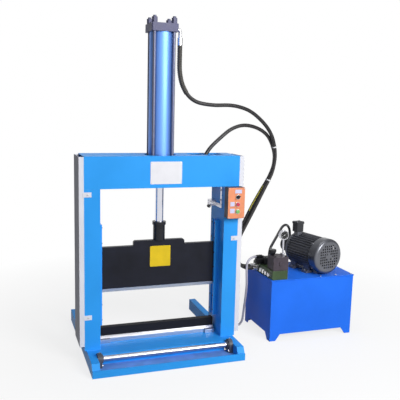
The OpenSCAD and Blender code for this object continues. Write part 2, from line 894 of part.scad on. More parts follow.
// Polished roller with a journal at each end
module bale_roller() {
    journal_half = skid_in - 1;
    placed() color(steel) {
        bar_x([-roller_half, -roller_y, roller_z], roller_d, 2 * roller_half);
        bar_x([-journal_half, -roller_y, roller_z], journal_d, 2 * journal_half);
    }
}

module cylinder_tube() {
    placed() color(frame_blue) difference() {
        bar_z([0, axis_y, head_top], tube_d, cap_z - head_top);
        bar_z([0, axis_y, head_top - eps], bore_d, cap_z - head_top + 2 * eps);
    }
}

// Square end cap with its side port and tie rod holes
module cylinder_cap() {
    placed() color([0.42, 0.40, 0.50]) difference() {
        translate([0, axis_y, cap_z]) linear_extrude(cap_t) cut_square(cap_w, cap_bevel);
        at_ties() bar_z([0, 0, cap_z - eps], tie_d + 2 * fit, cap_t + 2 * eps);
        bar_x([oil_x, axis_y, cap_port_z], port_d, cap_w / 2);
        bar_z([oil_x, axis_y, cap_z - eps], port_d, cap_t / 2 + eps);
    }
}

// Square head with the rod's gland, a spigot in the mount plate and a side port
module cylinder_head() {
    placed() color(dark_steel) difference() {
        union() {
            translate([0, axis_y, mount_top]) linear_extrude(head_t) cut_square(cap_w, cap_bevel);
            bar_z([0, axis_y, beam_z], spigot_d, mount_t + eps);
        }
        bar_z([0, axis_y, beam_z - eps], rod_d + 2 * run, head_t + mount_t + 2 * eps);
        at_ties() bar_z([0, 0, mount_top - eps], tie_d + 2 * fit, head_t + 2 * eps);
        bar_x([oil_x, axis_y, head_port_z], port_d, cap_w / 2);
        bar_z([oil_x, axis_y, head_port_z], port_d, head_t / 2 + eps);
    }
}

module tie_rods() {
    placed() color(frame_blue) at_ties() bar_z([0, 0, mount_top], tie_d, cap_top + tie_stud - mount_top);
}

module tie_rod_nuts() {
    placed() color(dark_steel) at_ties() difference() {
        translate([0, 0, cap_top]) cylinder(d = nut_d, h = nut_h, $fn = 6);
        bar_z([0, 0, cap_top - eps], tie_d + 2 * fit, nut_h + 2 * eps);
    }
}

// A turned-down elbow on the cap and a straight stub on the head
module port_fittings() {
    out = upper_route[0][0];
    low = upper_route[0][2];
    stub_end = lower_route[0][0];
    placed() color(steel) {
        translate([out - pipe_bend, axis_y, cap_port_z - pipe_bend]) rotate([90, 0, 0])
            rotate_extrude(angle = 90) translate([pipe_bend, 0]) circle(d = pipe_d);
        bar_x([cap_w / 2, axis_y, cap_port_z], pipe_d, out - pipe_bend - cap_w / 2);
        bar_x([cap_w / 2, axis_y, cap_port_z], ferrule_d, pipe_collar);
        bar_z([out, axis_y, low], pipe_d, cap_port_z - pipe_bend - low);
        bar_z([out, axis_y, low], ferrule_d, ferrule_l);
        bar_x([cap_w / 2, axis_y, head_port_z], pipe_d, stub_end - cap_w / 2);
        bar_x([stub_end - ferrule_l, axis_y, head_port_z], ferrule_d, ferrule_l);
        translate([cap_w / 2, axis_y, head_port_z]) rotate([0, 90, 0])
            cylinder(d = hex_d, h = hex_l, $fn = 6);
    }
}

// Piston on the rod's upper end
module piston() {
    placed() color(dark_steel) difference() {
        bar_z([0, axis_y, piston_z], bore_d - 2 * run, piston_l);
        bar_z([0, axis_y, piston_z - eps], rod_d / 2 + 2 * fit, piston_l + 2 * eps);
    }
}

// Rod with a shouldered end through the piston
module piston_rod() {
    placed() color(steel) {
        bar_z([0, axis_y, rod_z], rod_d, piston_z - rod_z);
        bar_z([0, axis_y, piston_z - eps], rod_d / 2, piston_l + eps);
    }
}

module rod_coupling() {
    placed() color(black) difference() {
        union() {
            bar_z([0, axis_y, shoulder_top], coupling_d, coupling_l);
            bar_z([0, axis_y, coupling_top - collar_h], collar_d, collar_h);
        }
        bar_z([0, axis_y, rod_z], rod_d + 2 * fit, seat_depth + eps);
    }
}

// Knife plate with a raised shoulder and a bevel on its front
module knife() {
    placed() color(black) difference() {
        along_y(knife_y, knife_edge_y) {
            translate([-knife_half, edge_z]) square([2 * knife_half, knife_h]);
            translate([-shoulder_half, knife_top - eps])
                square([2 * shoulder_half, shoulder_h - shoulder_r + eps]);
            translate([shoulder_r - shoulder_half, knife_top - eps])
                square([2 * (shoulder_half - shoulder_r), shoulder_h + eps]);
            for (x = [shoulder_r - shoulder_half, shoulder_half - shoulder_r])
                translate([x, shoulder_top - shoulder_r]) circle(shoulder_r);
        }
        along_x(-knife_half - eps, knife_half + eps)
            polygon([[knife_y, edge_z + bevel_h], [knife_edge_y, edge_z], [knife_edge_y, edge_z - eps],
                [knife_y - eps, edge_z - eps], [knife_y - eps, edge_z + bevel_h]]);
    }
}

// Sheet box, open at the front behind the panel
module control_box() {
    placed() color([0.62, 0.60, 0.62]) difference() {
        block([box_x, -box_d, box_z], [box_x + box_w, 0, box_z + box_h]);
        block([box_x + box_t, -box_d - eps, box_z + box_t],
            [box_x + box_w - box_t, -box_t, box_z + box_h - box_t]);
    }
}

module control_panel() {
    placed() color([0.95, 0.52, 0.22]) difference() {
        block([box_x, panel_y, box_z], [box_x + box_w, -box_d, box_z + box_h]);
        for (z = [green_z, red_z])
            bar_y([button_place, panel_y - eps, z], button_d + 2 * run, panel_t + 2 * eps);
        bar_y([button_place, panel_y - eps, selector_z], spindle_d + 2 * run, panel_t + 2 * eps);
    }
}

// Collars round the buttons and the selector
module button_collars() {
    placed() color(steel) for (p = [[green_z, button_d], [red_z, button_d], [selector_z, spindle_d]])
        difference() {
            bar_y([button_place, collar_y, p[0]], ring_d, ring_h);
            bar_y([button_place, collar_y - eps, p[0]], p[1] + 2 * run, ring_h + 2 * eps);
        }
}

// Spindle, grip plate and bar of the selector
module selector_knob() {
    seat = collar_y - turn_gap;
    placed() color(black) {
        bar_y([button_place, seat - grip_t, selector_z], spindle_d, -box_d + button_stem - seat + grip_t);
        bar_y([button_place, seat - grip_t, selector_z], selector_d, grip_t);
        translate([button_place, seat - grip_t, selector_z]) rotate([0, -selector_turn, 0])
            translate([-selector_d / 2, -selector_h, -selector_bar / 2])
                cube([selector_d, selector_h + grip_t / 2, selector_bar]);
    }
}

// Round-edged push button on a stem through its collar
module push_button(z) {
    translate([button_place, collar_y - button_h, z])
        dome(button_d, button_h + ring_h + panel_t + button_stem, button_r);
}

module red_button() {
    placed() color([0.85, 0.12, 0.16]) push_button(red_z);
}

module green_button() {
    placed() color([0.35, 0.72, 0.30]) push_button(green_z);
}

// Switch body on an angled bracket on the right post's inner face
module limit_switch() {
    front = switch_y - bracket_reach;
    rear = switch_y + switch_l;
    arm_top = switch_z + bracket_w;
    leg_top = beam_z - bracket_drop;
    placed() color(steel) difference() {
        union() {
            along_x(post_in - bracket_t, post_in)
                polygon([[front, switch_z], [front, leg_top], [front + bracket_leg, leg_top],
                    [front + bracket_leg, arm_top], [rear, arm_top], [rear, switch_z]]);
            block([post_in - switch_d, switch_y, switch_z], [post_in, rear, switch_z + switch_h]);
        }
        bar_y([lever_x, switch_y - eps, lever_z], lever_shaft_d + 2 * run, switch_l / 2 + eps);
    }
}

// Lever with its shaft in the switch and a pin for its roller
module limit_lever() {
    arm_l = norm([lever_dx, lever_dz]);
    arm_turn = atan2(lever_dz, lever_dx);
    pin_l = wheel_w + 2 * turn_gap + lever_t / 2;
    mid = lever_y + lever_t / 2;
    placed() color(steel) {
        along_y(lever_y, lever_y + lever_t) {
            translate([lever_x, lever_z]) circle(d = lever_hub_d);
            translate([wheel_x, wheel_z]) circle(d = lever_eye_d);
            translate([wheel_x, wheel_z]) rotate(arm_turn)
                translate([0, -lever_w / 2]) square([arm_l, lever_w]);
        }
        bar_y([lever_x, mid, lever_z], lever_shaft_d, (lever_t + switch_l) / 2);
        bar_y([wheel_x, mid - pin_l, wheel_z], wheel_pin_d, pin_l);
    }
}

module limit_roller() {
    front = lever_y - turn_gap - wheel_w;
    placed() color(black) difference() {
        bar_y([wheel_x, front, wheel_z], wheel_d, wheel_w);
        bar_y([wheel_x, front - eps, wheel_z], wheel_pin_d + 2 * run, wheel_w + 2 * eps);
    }
}

module upper_hose() {
    placed() color(black) hose(upper_route, hose_d);
}

module lower_hose() {
    placed() color(black) hose(lower_route, hose_d);
}

module control_conduit() {
    placed() color([0.68, 0.67, 0.72]) hose(conduit_route, conduit_d);
}

// A foot gap under one wall of the tank, drawn in the wall's own plane
module foot_gap(length) {
    polygon([[foot_w, -eps], [foot_w + foot_slope, foot_h], [length - foot_w - foot_slope, foot_h],
        [length - foot_w, -eps]]);
}

// Welded tank on sheet feet, open at the top
module tank_shell() {
    placed() color(tank_blue) difference() {
        block([tank_x, tank_y, 0], [tank_x + tank_w, tank_y + tank_d, lid_z]);
        block([tank_x + tank_t, tank_y + tank_t, foot_h + tank_t],
            [tank_x + tank_w - tank_t, tank_y + tank_d - tank_t, lid_z + eps]);
        block([tank_x + tank_t, tank_y + tank_t, -eps],
            [tank_x + tank_w - tank_t, tank_y + tank_d - tank_t, foot_h]);
        translate([tank_x, 0, 0]) along_y(tank_y - eps, tank_y + tank_d + eps) foot_gap(tank_w);
        translate([0, tank_y, 0]) along_x(tank_x - eps, tank_x + tank_w + eps) foot_gap(tank_d);
    }
}

module tank_lid() {
    placed() color(tank_blue) block([tank_x - lid_lap, tank_y - lid_lap, lid_z],
        [tank_x + tank_w + lid_lap, tank_y + tank_d + lid_lap, tank_h]);
}

// Screws along the lid's front, rear and right edges
module lid_screws() {
    span_x = tank_w - 2 * lid_inset;
    span_y = tank_d - 2 * lid_inset;
    front = [for (k = [3:4]) [lid_inset + span_x * k / 5, lid_inset]];
    right = [for (k = [0:2]) [lid_inset + span_x, lid_inset + span_y * k / 2]];
    rear = [for (k = [0:3]) [lid_inset + span_x * k / 5, lid_inset + span_y]];
    placed() color(steel) for (p = concat(front, right, rear))
        translate([tank_x + p[0], tank_y + p[1], tank_h]) cylinder(d = lid_screw_d, h = lid_screw_h, $fn = 6);
}

// Finned motor body with feet and a pad for the terminal box
module motor_frame() {
    fin_root = core_d / 2 - fin_t;
    pad_half = terminal_w / 3;
    rib_x = (feet_in + feet_w / 2 - feet_rib) / 2;
    placed() color(dark_steel) at_motor() difference() {
        union() {
            translate([0, drive_y, 0]) rotate([90, 0, 0]) linear_extrude(body_l) {
                circle(d = core_d);
                for (k = [0:fin_count - 1]) rotate(360 * (k + 0.5) / fin_count)
                    translate([fin_root, -fin_t / 2]) square([fin_d / 2 - fin_root, fin_t]);
            }
            block([-terminal_x - pad_half, terminal_y - terminal_l / 2 + terminal_lap, core_d / 2 - feet_rib],
                [pad_half - terminal_x, drive_y - terminal_lap, terminal_z]);
            for (y = [body_y + feet_inset, drive_y - feet_inset - feet_l], side = [0, 1])
                mirror([side, 0, 0]) {
                    block([feet_in, y, -motor_z], [feet_w / 2, y + feet_l, feet_t - motor_z]);
                    block([rib_x, y, feet_t - motor_z - eps], [rib_x + feet_rib, y + feet_l, -core_d / 4]);
                }
        }
        bar_y([0, body_y - eps, 0], rotor_d + 2 * air_gap, body_l + 2 * eps);
    }
}

// Bearing shield at each end of the motor body, with lugs that carry the fan cover
module motor_end_shields() {
    placed() color(dark_steel) at_motor() {
        for (y = [shield_y, drive_y]) difference() {
            bar_y([0, y, 0], shield_d, shield_t);
            bar_y([0, y - eps, 0], shaft_d + 2 * run, shield_t + 2 * eps);
        }
        intersection() {
            bar_y([0, shield_y, 0], fan_cover_d - 2 * fan_cover_t - 2 * fit, shield_t);
            for (turn = [45:90:315]) rotate([0, turn, 0])
                block([shield_d / 2 - shield_lug, shield_y, -shield_lug / 2],
                    [fan_cover_d / 2, shield_y + shield_t, shield_lug / 2]);
        }
    }
}

// A closed shape of revolution with one rounded edge
module dome(d, l, r) {
    rotate([-90, 0, 0]) rotate_extrude() {
        square([d / 2 - r, l]);
        translate([0, r]) square([d / 2, l - r]);
        translate([d / 2 - r, r]) intersection() {
            circle(r);
            translate([0, -r]) square(r);
        }
    }
}

// Dished sheet cover over the fan, pierced with a grid of square holes
module fan_cover() {
    field = (fan_cover_d / 2 - fan_cover_r - hole_w) / hole_pitch;
    rows = floor(field);
    placed() color([0.45, 0.45, 0.48]) at_motor() difference() {
        dome(fan_cover_d, fan_cover_l, fan_cover_r);
        translate([0, fan_cover_t, 0])
            dome(fan_cover_d - 2 * fan_cover_t, fan_cover_l, fan_cover_r - fan_cover_t);
        for (i = [-rows:rows], j = [-rows:rows])
            if (norm([i, j]) < field && norm([i, j]) > 1)
                translate([i * hole_pitch - hole_w / 2, -eps, j * hole_pitch - hole_w / 2])
                    cube([hole_w, fan_cover_t + 2 * eps, hole_w]);
    }
}

// Shaft with the rotor on it, from the fan to the bell housing
module motor_shaft() {
    end_gap = shield_t / 2;
    placed() color(steel) at_motor() {
        bar_y([0, fan_gap, 0], shaft_d, bell_y + bell_l - end_gap - fan_gap);
        bar_y([0, body_y + end_gap, 0], rotor_d, body_l - 2 * end_gap);
    }
}

// Hub, back plate and radial blades
module cooling_fan() {
    hub_d = shaft_d + 2 * fan_hub_t;
    hub_l = shield_y - 2 * fan_gap;
    plate_z = hub_l - 3 * blade_t;
    placed() color(black) at_motor() translate([0, fan_gap, 0]) rotate([-90, 0, 0]) difference() {
        union() {
            cylinder(d = hub_d, h = hub_l);
            translate([0, 0, plate_z]) cylinder(d = fan_back_d, h = blade_t);
            translate([0, 0, blade_t]) linear_extrude(plate_z - blade_t / 2)
                for (k = [0:blade_count - 1]) rotate(360 * k / blade_count)
                    translate([hub_d / 2 - blade_t, -blade_t / 2])
                        square([(fan_d - hub_d) / 2 + blade_t, blade_t]);
        }
        translate([0, 0, -eps]) cylinder(d = shaft_d + 2 * fit, h = hub_l + 2 * eps);
    }
}

// Terminal box with its lid on top
module terminal_box() {
    low = terminal_h - terminal_lid;
    placed() color(dark_steel) at_motor() translate([-terminal_x, terminal_y - terminal_l / 2, terminal_z]) {
        block([-terminal_w / 2, 0, 0], [terminal_w / 2, terminal_l, low]);
        block([-terminal_w / 2 - terminal_lap, -terminal_lap, low],
            [terminal_w / 2 + terminal_lap, terminal_l + terminal_lap, terminal_h]);
    }
}

// Ring between the motor and the pump
module bell_housing() {
    placed() color(dark_steel) at_motor() difference() {
        bar_y([0, bell_y, 0], bell_d, bell_l);
        bar_y([0, bell_y - eps, 0], bell_bore, bell_l + 2 * eps);
    }
}

// Round pump with a mounting flange and a pressure boss on top
module pump() {
    placed() color([0.35, 0.36, 0.38]) at_motor() {
        bar_y([0, pump_y, 0], bell_d, flange_t);
        bar_y([0, pump_y, 0], pump_d, pump_l);
        bar_z([0, pump_mid, 0], ferrule_d, pump_d / 2 + boss_h);
    }
}

// Block that joins the valves, with the hoses' ports on its left
module manifold_block() {
    placed() color([0.36, 0.45, 0.26]) block([manifold_left, manifold_front, tank_h],
        [manifold_left + manifold_w, manifold_front + manifold_l, manifold_top]);
}

// Hose stubs and port plugs on the manifold
module hose_fittings() {
    upper_end = upper_route[len(upper_route) - 1];
    lower_end = lower_route[len(lower_route) - 1];
    placed() color(steel) {
        for (p = [upper_end, lower_end]) {
            bar_x(p, ferrule_d, manifold_left - p[0]);
            translate([manifold_left - hex_l, p[1], p[2]]) rotate([0, 90, 0])
                cylinder(d = hex_d, h = hex_l, $fn = 6);
        }
        for (k = [1:4]) translate([manifold_left - plug_l, manifold_front + plug_pitch * k, upper_end[2]])
            rotate([0, 90, 0]) cylinder(d = plug_d, h = plug_l, $fn = 6);
        bar_z([pump_hose_end[0], pump_hose_end[1], manifold_top], plug_d, pump_hose_end[2] - manifold_top);
    }
}

module pressure_hose() {
    placed() color(black) hose(pump_route, pump_hose_d);
}

// Cast relief valve with a plug on its front and a bored seat for its adjusting screw
module relief_valve() {
    depth = screw_depth + 2 * turn_gap;
    placed() color([0.36, 0.31, 0.36]) difference() {
        union() {
            bevelled([relief_x, relief_y, manifold_top], [relief_x + relief_w, relief_y + relief_l, relief_top],
                relief_bevel);
            translate([relief_x + relief_w / 2, relief_y + eps, manifold_top + relief_h / 2]) rotate([90, 0, 0])
                cylinder(d = plug_d, h = relief_plug + eps, $fn = 6);
        }
        bar_z([knob_x, knob_y, relief_top - depth], screw_shaft_d + 2 * run, depth + eps);
    }
}

// Flared knob on its adjusting screw
module relief_knob() {
    placed() color(black) {
        translate([knob_x, knob_y, relief_top + turn_gap]) rotate_extrude()
            polygon([[0, 0], [knob_neck / 2, 0], [knob_d / 2, knob_h - knob_rim], [knob_d / 2, knob_h],
                [0, knob_h]]);
        bar_z([knob_x, knob_y, relief_top - screw_depth], screw_shaft_d, screw_depth + knob_h / 2);
    }
}

// The directional valve's own frame, across the manifold
module at_valve() {
    translate([valve_x, valve_y, manifold_top]) rotate([0, 0, 90]) children();
}

module directional_valve() {
    placed() color(dark_steel) at_valve()
        bevelled([-valve_w / 2, -valve_l / 2, 0], [valve_w / 2, valve_l / 2, valve_h], valve_bevel);
}

// A round-cornered coil along Y from the valve, with its end nut and its plug on top
module solenoid() {
    half = solenoid_w / 2;
    rotate([90, 0, 0]) linear_extrude(solenoid_l)
        translate([-half, 0]) round_rect(solenoid_w, solenoid_w, solenoid_r);
    bar_y([0, -solenoid_l - coil_nut_l, half], coil_nut_d, coil_nut_l + eps);
    bevelled([plug_inset - half, plug_inset - solenoid_l, solenoid_w - eps],
        [half - plug_inset, -plug_inset, solenoid_w + plug_h], valve_bevel);
}

// A solenoid at each end of the directional valve
module solenoids() {
    placed() color(black) at_valve() for (turn = [0, 180])
        rotate([0, 0, turn]) translate([0, -valve_l / 2, solenoid_z]) solenoid();
}

// Gauge on a stem from the relief valve
module pressure_gauge() {
    z = relief_top + gauge_z;
    front = gauge_y - gauge_t / 2;
    placed() color(dark_steel) difference() {
        union() {
            bar_y([gauge_x, front, z], gauge_d, gauge_t);
            bar_z([gauge_x, gauge_y, relief_top], stem_d, gauge_z - gauge_d / 2 + gauge_rim);
            translate([gauge_x, gauge_y, relief_top]) cylinder(d = plug_d, h = hex_l, $fn = 6);
        }
        bar_y([gauge_x, front - eps, z], gauge_d - 2 * gauge_rim, gauge_rim + eps);
    }
}

left_skid();
right_skid();
front_bar();
tray_floor();
deck_plate();
left_post();
right_post();
beam_front_plate();
beam_rear_plate();
cylinder_mount_plate();
beam_top_cover();
left_side_cover();
right_side_cover();
cover_screws();
knife_guides();
bed_bars();
cutting_board();
roller_bearings();
bale_roller();
cylinder_tube();
cylinder_cap();
cylinder_head();
tie_rods();
tie_rod_nuts();
port_fittings();
piston();
piston_rod();
rod_coupling();
knife();
control_box();
control_panel();
selector_knob();
red_button();
green_button();
button_collars();
limit_switch();
limit_lever();
limit_roller();
upper_hose();
lower_hose();
tank_shell();
tank_lid();
lid_screws();
motor_frame();
motor_end_shields();
fan_cover();
motor_shaft();
cooling_fan();
terminal_box();
bell_housing();
pump();
manifold_block();
hose_fittings();
relief_valve();
relief_knob();
directional_valve();
solenoids();
pressure_gauge();
pressure_hose();
control_conduit();
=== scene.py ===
import math
from itertools import product

import bmesh
import bpy
from mathutils import Matrix, Vector

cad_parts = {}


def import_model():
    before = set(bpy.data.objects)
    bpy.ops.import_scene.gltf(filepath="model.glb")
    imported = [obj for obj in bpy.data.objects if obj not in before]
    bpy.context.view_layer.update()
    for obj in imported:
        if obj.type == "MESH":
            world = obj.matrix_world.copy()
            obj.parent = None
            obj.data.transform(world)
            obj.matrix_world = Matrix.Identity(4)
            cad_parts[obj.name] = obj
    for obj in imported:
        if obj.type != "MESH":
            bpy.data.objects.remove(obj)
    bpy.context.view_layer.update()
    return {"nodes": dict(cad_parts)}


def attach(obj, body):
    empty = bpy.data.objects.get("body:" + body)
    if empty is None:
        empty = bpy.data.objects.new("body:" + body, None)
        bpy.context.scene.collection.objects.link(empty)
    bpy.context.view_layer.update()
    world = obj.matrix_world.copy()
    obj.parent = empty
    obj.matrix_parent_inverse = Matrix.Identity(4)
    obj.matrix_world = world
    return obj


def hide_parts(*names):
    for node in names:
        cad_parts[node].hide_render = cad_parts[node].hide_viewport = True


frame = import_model()
nodes = frame["nodes"]
scene = bpy.context.scene
scene.view_settings.view_transform = "Standard"
BACK = 0.221    # metres from the frame's origin back to the posts' front face
MM = 1000    # millimetres in a metre


def mm(x, y, z):
    """A point of the frame, from millimetres right of the middle, behind the posts' front face and up."""
    return Vector((x / MM, y / MM + BACK, z / MM))


# Camera, found from the edges of the machine's frame
CAMERA_AT = (-999.4, -3540.9, 1609.4)    # millimetres
YAW, PITCH, ROLL = 0.335, 0.1574, 0.025    # radians
FOCAL, PICTURE = 595.86, 400    # pixels
SENSOR = 36    # millimetres
FARTHEST = 50    # metres


def add_camera():
    forward = Vector((math.sin(YAW) * math.cos(PITCH), math.cos(YAW) * math.cos(PITCH), -math.sin(PITCH)))
    level = Vector((math.cos(YAW), -math.sin(YAW), 0))
    over = level.cross(forward)
    right = math.cos(ROLL) * level + math.sin(ROLL) * over
    up = -math.sin(ROLL) * level + math.cos(ROLL) * over
    data = bpy.data.cameras.new("camera")
    data.sensor_width = SENSOR
    data.lens = FOCAL / PICTURE * SENSOR
    data.clip_end = FARTHEST
    cam = bpy.data.objects.new("camera", data)
    turn = Matrix((right, up, -forward)).transposed().to_4x4()
    cam.matrix_world = Matrix.Translation(mm(*CAMERA_AT)) @ turn
    scene.collection.objects.link(cam)
    scene.camera = cam


add_camera()


# Shader helpers
NOISE_BAND = (0.3, 0.7)    # the noise values between which a finish changes
WEAR_BAND = (0.40, 0.62)    # the same for edge wear
WEAR_FINER = 6    # how much finer the wear's noise is than the colour's
EDGE_BAND = (0.995, 0.90)    # cosines between a face's normal and its bevelled normal
EDGE_SAMPLES = 4
COAT_ROUGHNESS = 0.12
LEAST_ROUGHNESS = 0.02
BUMP_DISTANCE = 0.001
EDGE_RADIUS = 0.0015


def shader(name):
    m = bpy.data.materials.new(name)
    m.use_nodes = True
    tree = m.node_tree
    return m, tree, tree.nodes["Principled BSDF"]


def link(tree, a, b):
    tree.links.new(a, b)


def noise(tree, scale, detail, stretch=None):
    co = tree.nodes.new("ShaderNodeTexCoord")
    n = tree.nodes.new("ShaderNodeTexNoise")
    n.inputs["Scale"].default_value = scale
    n.inputs["Detail"].default_value = detail
    if stretch:
        mp = tree.nodes.new("ShaderNodeMapping")
        mp.inputs["Scale"].default_value = stretch
        link(tree, co.outputs["Object"], mp.inputs["Vector"])
        link(tree, mp.outputs["Vector"], n.inputs["Vector"])
    else:
        link(tree, co.outputs["Object"], n.inputs["Vector"])
    return n.outputs["Fac"]


def span(tree, value, a, b, c, d):
    """The value, mapped from a to b onto c to d."""
    n = tree.nodes.new("ShaderNodeMapRange")
    for key, v in zip(("From Min", "From Max", "To Min", "To Max"), (a, b, c, d)):
        n.inputs[key].default_value = v
    link(tree, value, n.inputs["Value"])
    return n.outputs["Result"]


def calc(tree, operation, *values):
    n = tree.nodes.new("ShaderNodeMath")
    n.operation = operation
    for socket, value in zip(n.inputs, values):
        link(tree, value, socket)
    return n.outputs[0]


def mix(tree, factor, a, b):
    """A blend of two colours, each a constant or a socket."""
    n = tree.nodes.new("ShaderNodeMix")
    n.data_type = "RGBA"
    link(tree, factor, n.inputs["Factor"])
    for socket, v in ((n.inputs[6], a), (n.inputs[7], b)):    # the node's two colour inputs
        if isinstance(v, tuple):
            socket.default_value = (*v, 1)
        else:
            link(tree, v, socket)
    return n.outputs[2]    # its colour output


def edge_mask(tree, radius):
    """Bevelled normal, and 1 where it leaves the face's own normal."""
    bevel = tree.nodes.new("ShaderNodeBevel")
    bevel.samples = EDGE_SAMPLES
    bevel.inputs["Radius"].default_value = radius
    geo = tree.nodes.new("ShaderNodeNewGeometry")
    dot = tree.nodes.new("ShaderNodeVectorMath")
    dot.operation = "DOT_PRODUCT"
    link(tree, bevel.outputs["Normal"], dot.inputs[0])
    link(tree, geo.outputs["Normal"], dot.inputs[1])
    return bevel.outputs["Normal"], span(tree, dot.outputs["Value"], *EDGE_BAND, 0, 1)


def add_bump(tree, p, strength, height, normal):
    b = tree.nodes.new("ShaderNodeBump")
    b.inputs["Strength"].default_value = strength
    b.inputs["Distance"].default_value = BUMP_DISTANCE
    link(tree, height, b.inputs["Height"])
    link(tree, normal, b.inputs["Normal"])
    link(tree, b.outputs["Normal"], p.inputs["Normal"])


def shade(color, k):
    return tuple(min(1.0, v * k) for v in color)


def surface(name, color, rough, *, vary, scale, grain, bump, metal=0.0, edge=EDGE_RADIUS, wear=None,
            wear_amount=0.0, coat=0.0, stretch=None, spread=0.08, gloss=0.4):
    """A solid finish with slow colour change, fine grain, rounded edges and lighter edge wear."""
    m, tree, p = shader(name)
    slow = noise(tree, scale, detail=4, stretch=stretch)
    tint = mix(tree, span(tree, slow, *NOISE_BAND, 0, 1), shade(color, 1 - vary), shade(color, 1 + vary))
    normal, mask = edge_mask(tree, edge)
    if wear:
        patches = span(tree, noise(tree, scale * WEAR_FINER, detail=3), *WEAR_BAND, 0, wear_amount)
        tint = mix(tree, calc(tree, "MULTIPLY", mask, patches), tint, wear)
    link(tree, tint, p.inputs["Base Color"])
    roughness = span(tree, slow, *NOISE_BAND, max(LEAST_ROUGHNESS, rough - spread), rough + spread)
    link(tree, roughness, p.inputs["Roughness"])
    p.inputs["Metallic"].default_value = metal
    p.inputs["Specular IOR Level"].default_value = gloss
    p.inputs["Coat Weight"].default_value = coat
    p.inputs["Coat Roughness"].default_value = COAT_ROUGHNESS
    add_bump(tree, p, bump, noise(tree, grain, detail=2, stretch=stretch), normal)
    return m


# Paints
paint = surface("frame_paint", (0.034, 0.360, 0.93), 0.42, vary=0.05, scale=4, grain=420, bump=0.04,
                gloss=0.12, wear=(0.30, 0.60, 0.95), wear_amount=0.45)
tray_paint = surface("tray_paint", (0.150, 0.32, 0.76), 0.50, vary=0.22, scale=7, grain=300, bump=0.06,
                     gloss=0.2, wear=(0.30, 0.50, 0.85), wear_amount=0.5)
lacquer = surface("tube_lacquer", (0.155, 0.33, 0.80), 0.44, vary=0.04, scale=5, grain=500, bump=0.02,
                  metal=0.70, gloss=0.2, spread=0.04)
tank_paint = surface("tank_paint", (0.025, 0.188, 0.94), 0.42, vary=0.06, scale=4, grain=420, bump=0.05,
                     gloss=0.08, wear=(0.25, 0.45, 0.95), wear_amount=0.4)
sheet = surface("cover_sheet", (0.78, 0.79, 0.86), 0.65, vary=0.05, scale=6, grain=600, bump=0.04,
                gloss=0.02, wear=(0.9, 0.9, 0.92), wear_amount=0.4)
# Control box paint made near black as painted shade: darkened to stand for the shade on the box's side.
box_paint = surface("box_paint", (0.050, 0.050, 0.075), 0.52, vary=0.06, scale=14, grain=700, bump=0.08,
                    gloss=0.2, wear=(0.6, 0.6, 0.6), wear_amount=0.4)
panel_paint = surface("panel_paint", (0.82, 0.30, 0.15), 0.48, vary=0.09, scale=18, grain=900, bump=0.05,
                      gloss=0.25, wear=(0.9, 0.6, 0.45), wear_amount=0.4)
motor = surface("motor_paint", (0.145, 0.150, 0.175), 0.36, vary=0.15, scale=12, grain=320, bump=0.18,
                wear=(0.26, 0.26, 0.29), wear_amount=0.7)
# Fan cover paint: its light edge wear is partly real wear and partly a painted highlight along the cover's
# edges.
cowl = surface("fan_cover_paint", (0.125, 0.130, 0.150), 0.28, vary=0.16, scale=10, grain=420, bump=0.08,
               metal=0.50, coat=0.5, wear=(0.62, 0.63, 0.68), wear_amount=0.9)
olive = surface("manifold_paint", (0.052, 0.092, 0.038), 0.42, vary=0.15, scale=22, grain=500, bump=0.12,
                gloss=0.3, wear=(0.35, 0.38, 0.28), wear_amount=0.6)
dark_paint = surface("coupling_black", (0.010, 0.011, 0.016), 0.32, vary=0.2, scale=14, grain=300, bump=0.06,
                     gloss=0.3, wear=(0.10, 0.10, 0.12), wear_amount=0.5)

# Metals
bright = surface("bright_steel", (0.62, 0.62, 0.67), 0.30, vary=0.07, scale=20, grain=90, bump=0.06,
                 metal=1.0, stretch=(0.06, 1, 6), wear=(0.85, 0.85, 0.87), wear_amount=0.5)
fitting = surface("fitting_steel", (0.70, 0.70, 0.72), 0.24, vary=0.10, scale=60, grain=900, bump=0.05,
                  metal=1.0, edge=0.0008, wear=(0.9, 0.9, 0.9), wear_amount=0.4)
bolt_steel = surface("bolt_steel", (0.42, 0.42, 0.45), 0.34, vary=0.12, scale=80, grain=900, bump=0.05,
                     metal=1.0, edge=0.0006, wear=(0.7, 0.7, 0.7), wear_amount=0.5)
black_bolt = surface("black_bolt", (0.05, 0.05, 0.055), 0.34, vary=0.15, scale=80, grain=900, bump=0.05,
                     metal=0.6, edge=0.0006, wear=(0.35, 0.35, 0.36), wear_amount=0.5)
roller_steel = surface("roller_steel", (0.56, 0.57, 0.63), 0.20, vary=0.08, scale=14, grain=120, bump=0.04,
                       metal=1.0, stretch=(0.05, 1, 1), spread=0.05)
chrome = surface("chrome", (0.70, 0.71, 0.78), 0.12, vary=0.03, scale=12, grain=700, bump=0.015,
                 metal=1.0, spread=0.03)
tie_steel = surface("tie_steel", (0.15, 0.16, 0.24), 0.44, vary=0.08, scale=30, grain=500, bump=0.04,
                    metal=0.55)
cap_steel = surface("cap_steel", (0.115, 0.116, 0.210), 0.50, vary=0.14, scale=24, grain=160, bump=0.12,
                    gloss=0.3, wear=(0.34, 0.34, 0.46), wear_amount=0.6)
cast = surface("cast_grey", (0.040, 0.041, 0.046), 0.52, vary=0.18, scale=16, grain=260, bump=0.25,
               gloss=0.3, wear=(0.16, 0.16, 0.17), wear_amount=0.6)
bearing_grey = surface("bearing_grey", (0.085, 0.090, 0.110), 0.42, vary=0.20, scale=24, grain=260, bump=0.22,
                       gloss=0.3, wear=(0.35, 0.35, 0.38), wear_amount=0.7)
relief = surface("relief_cast", (0.060, 0.048, 0.062), 0.46, vary=0.18, scale=24, grain=280, bump=0.25,
                 gloss=0.3, wear=(0.34, 0.28, 0.34), wear_amount=0.6)

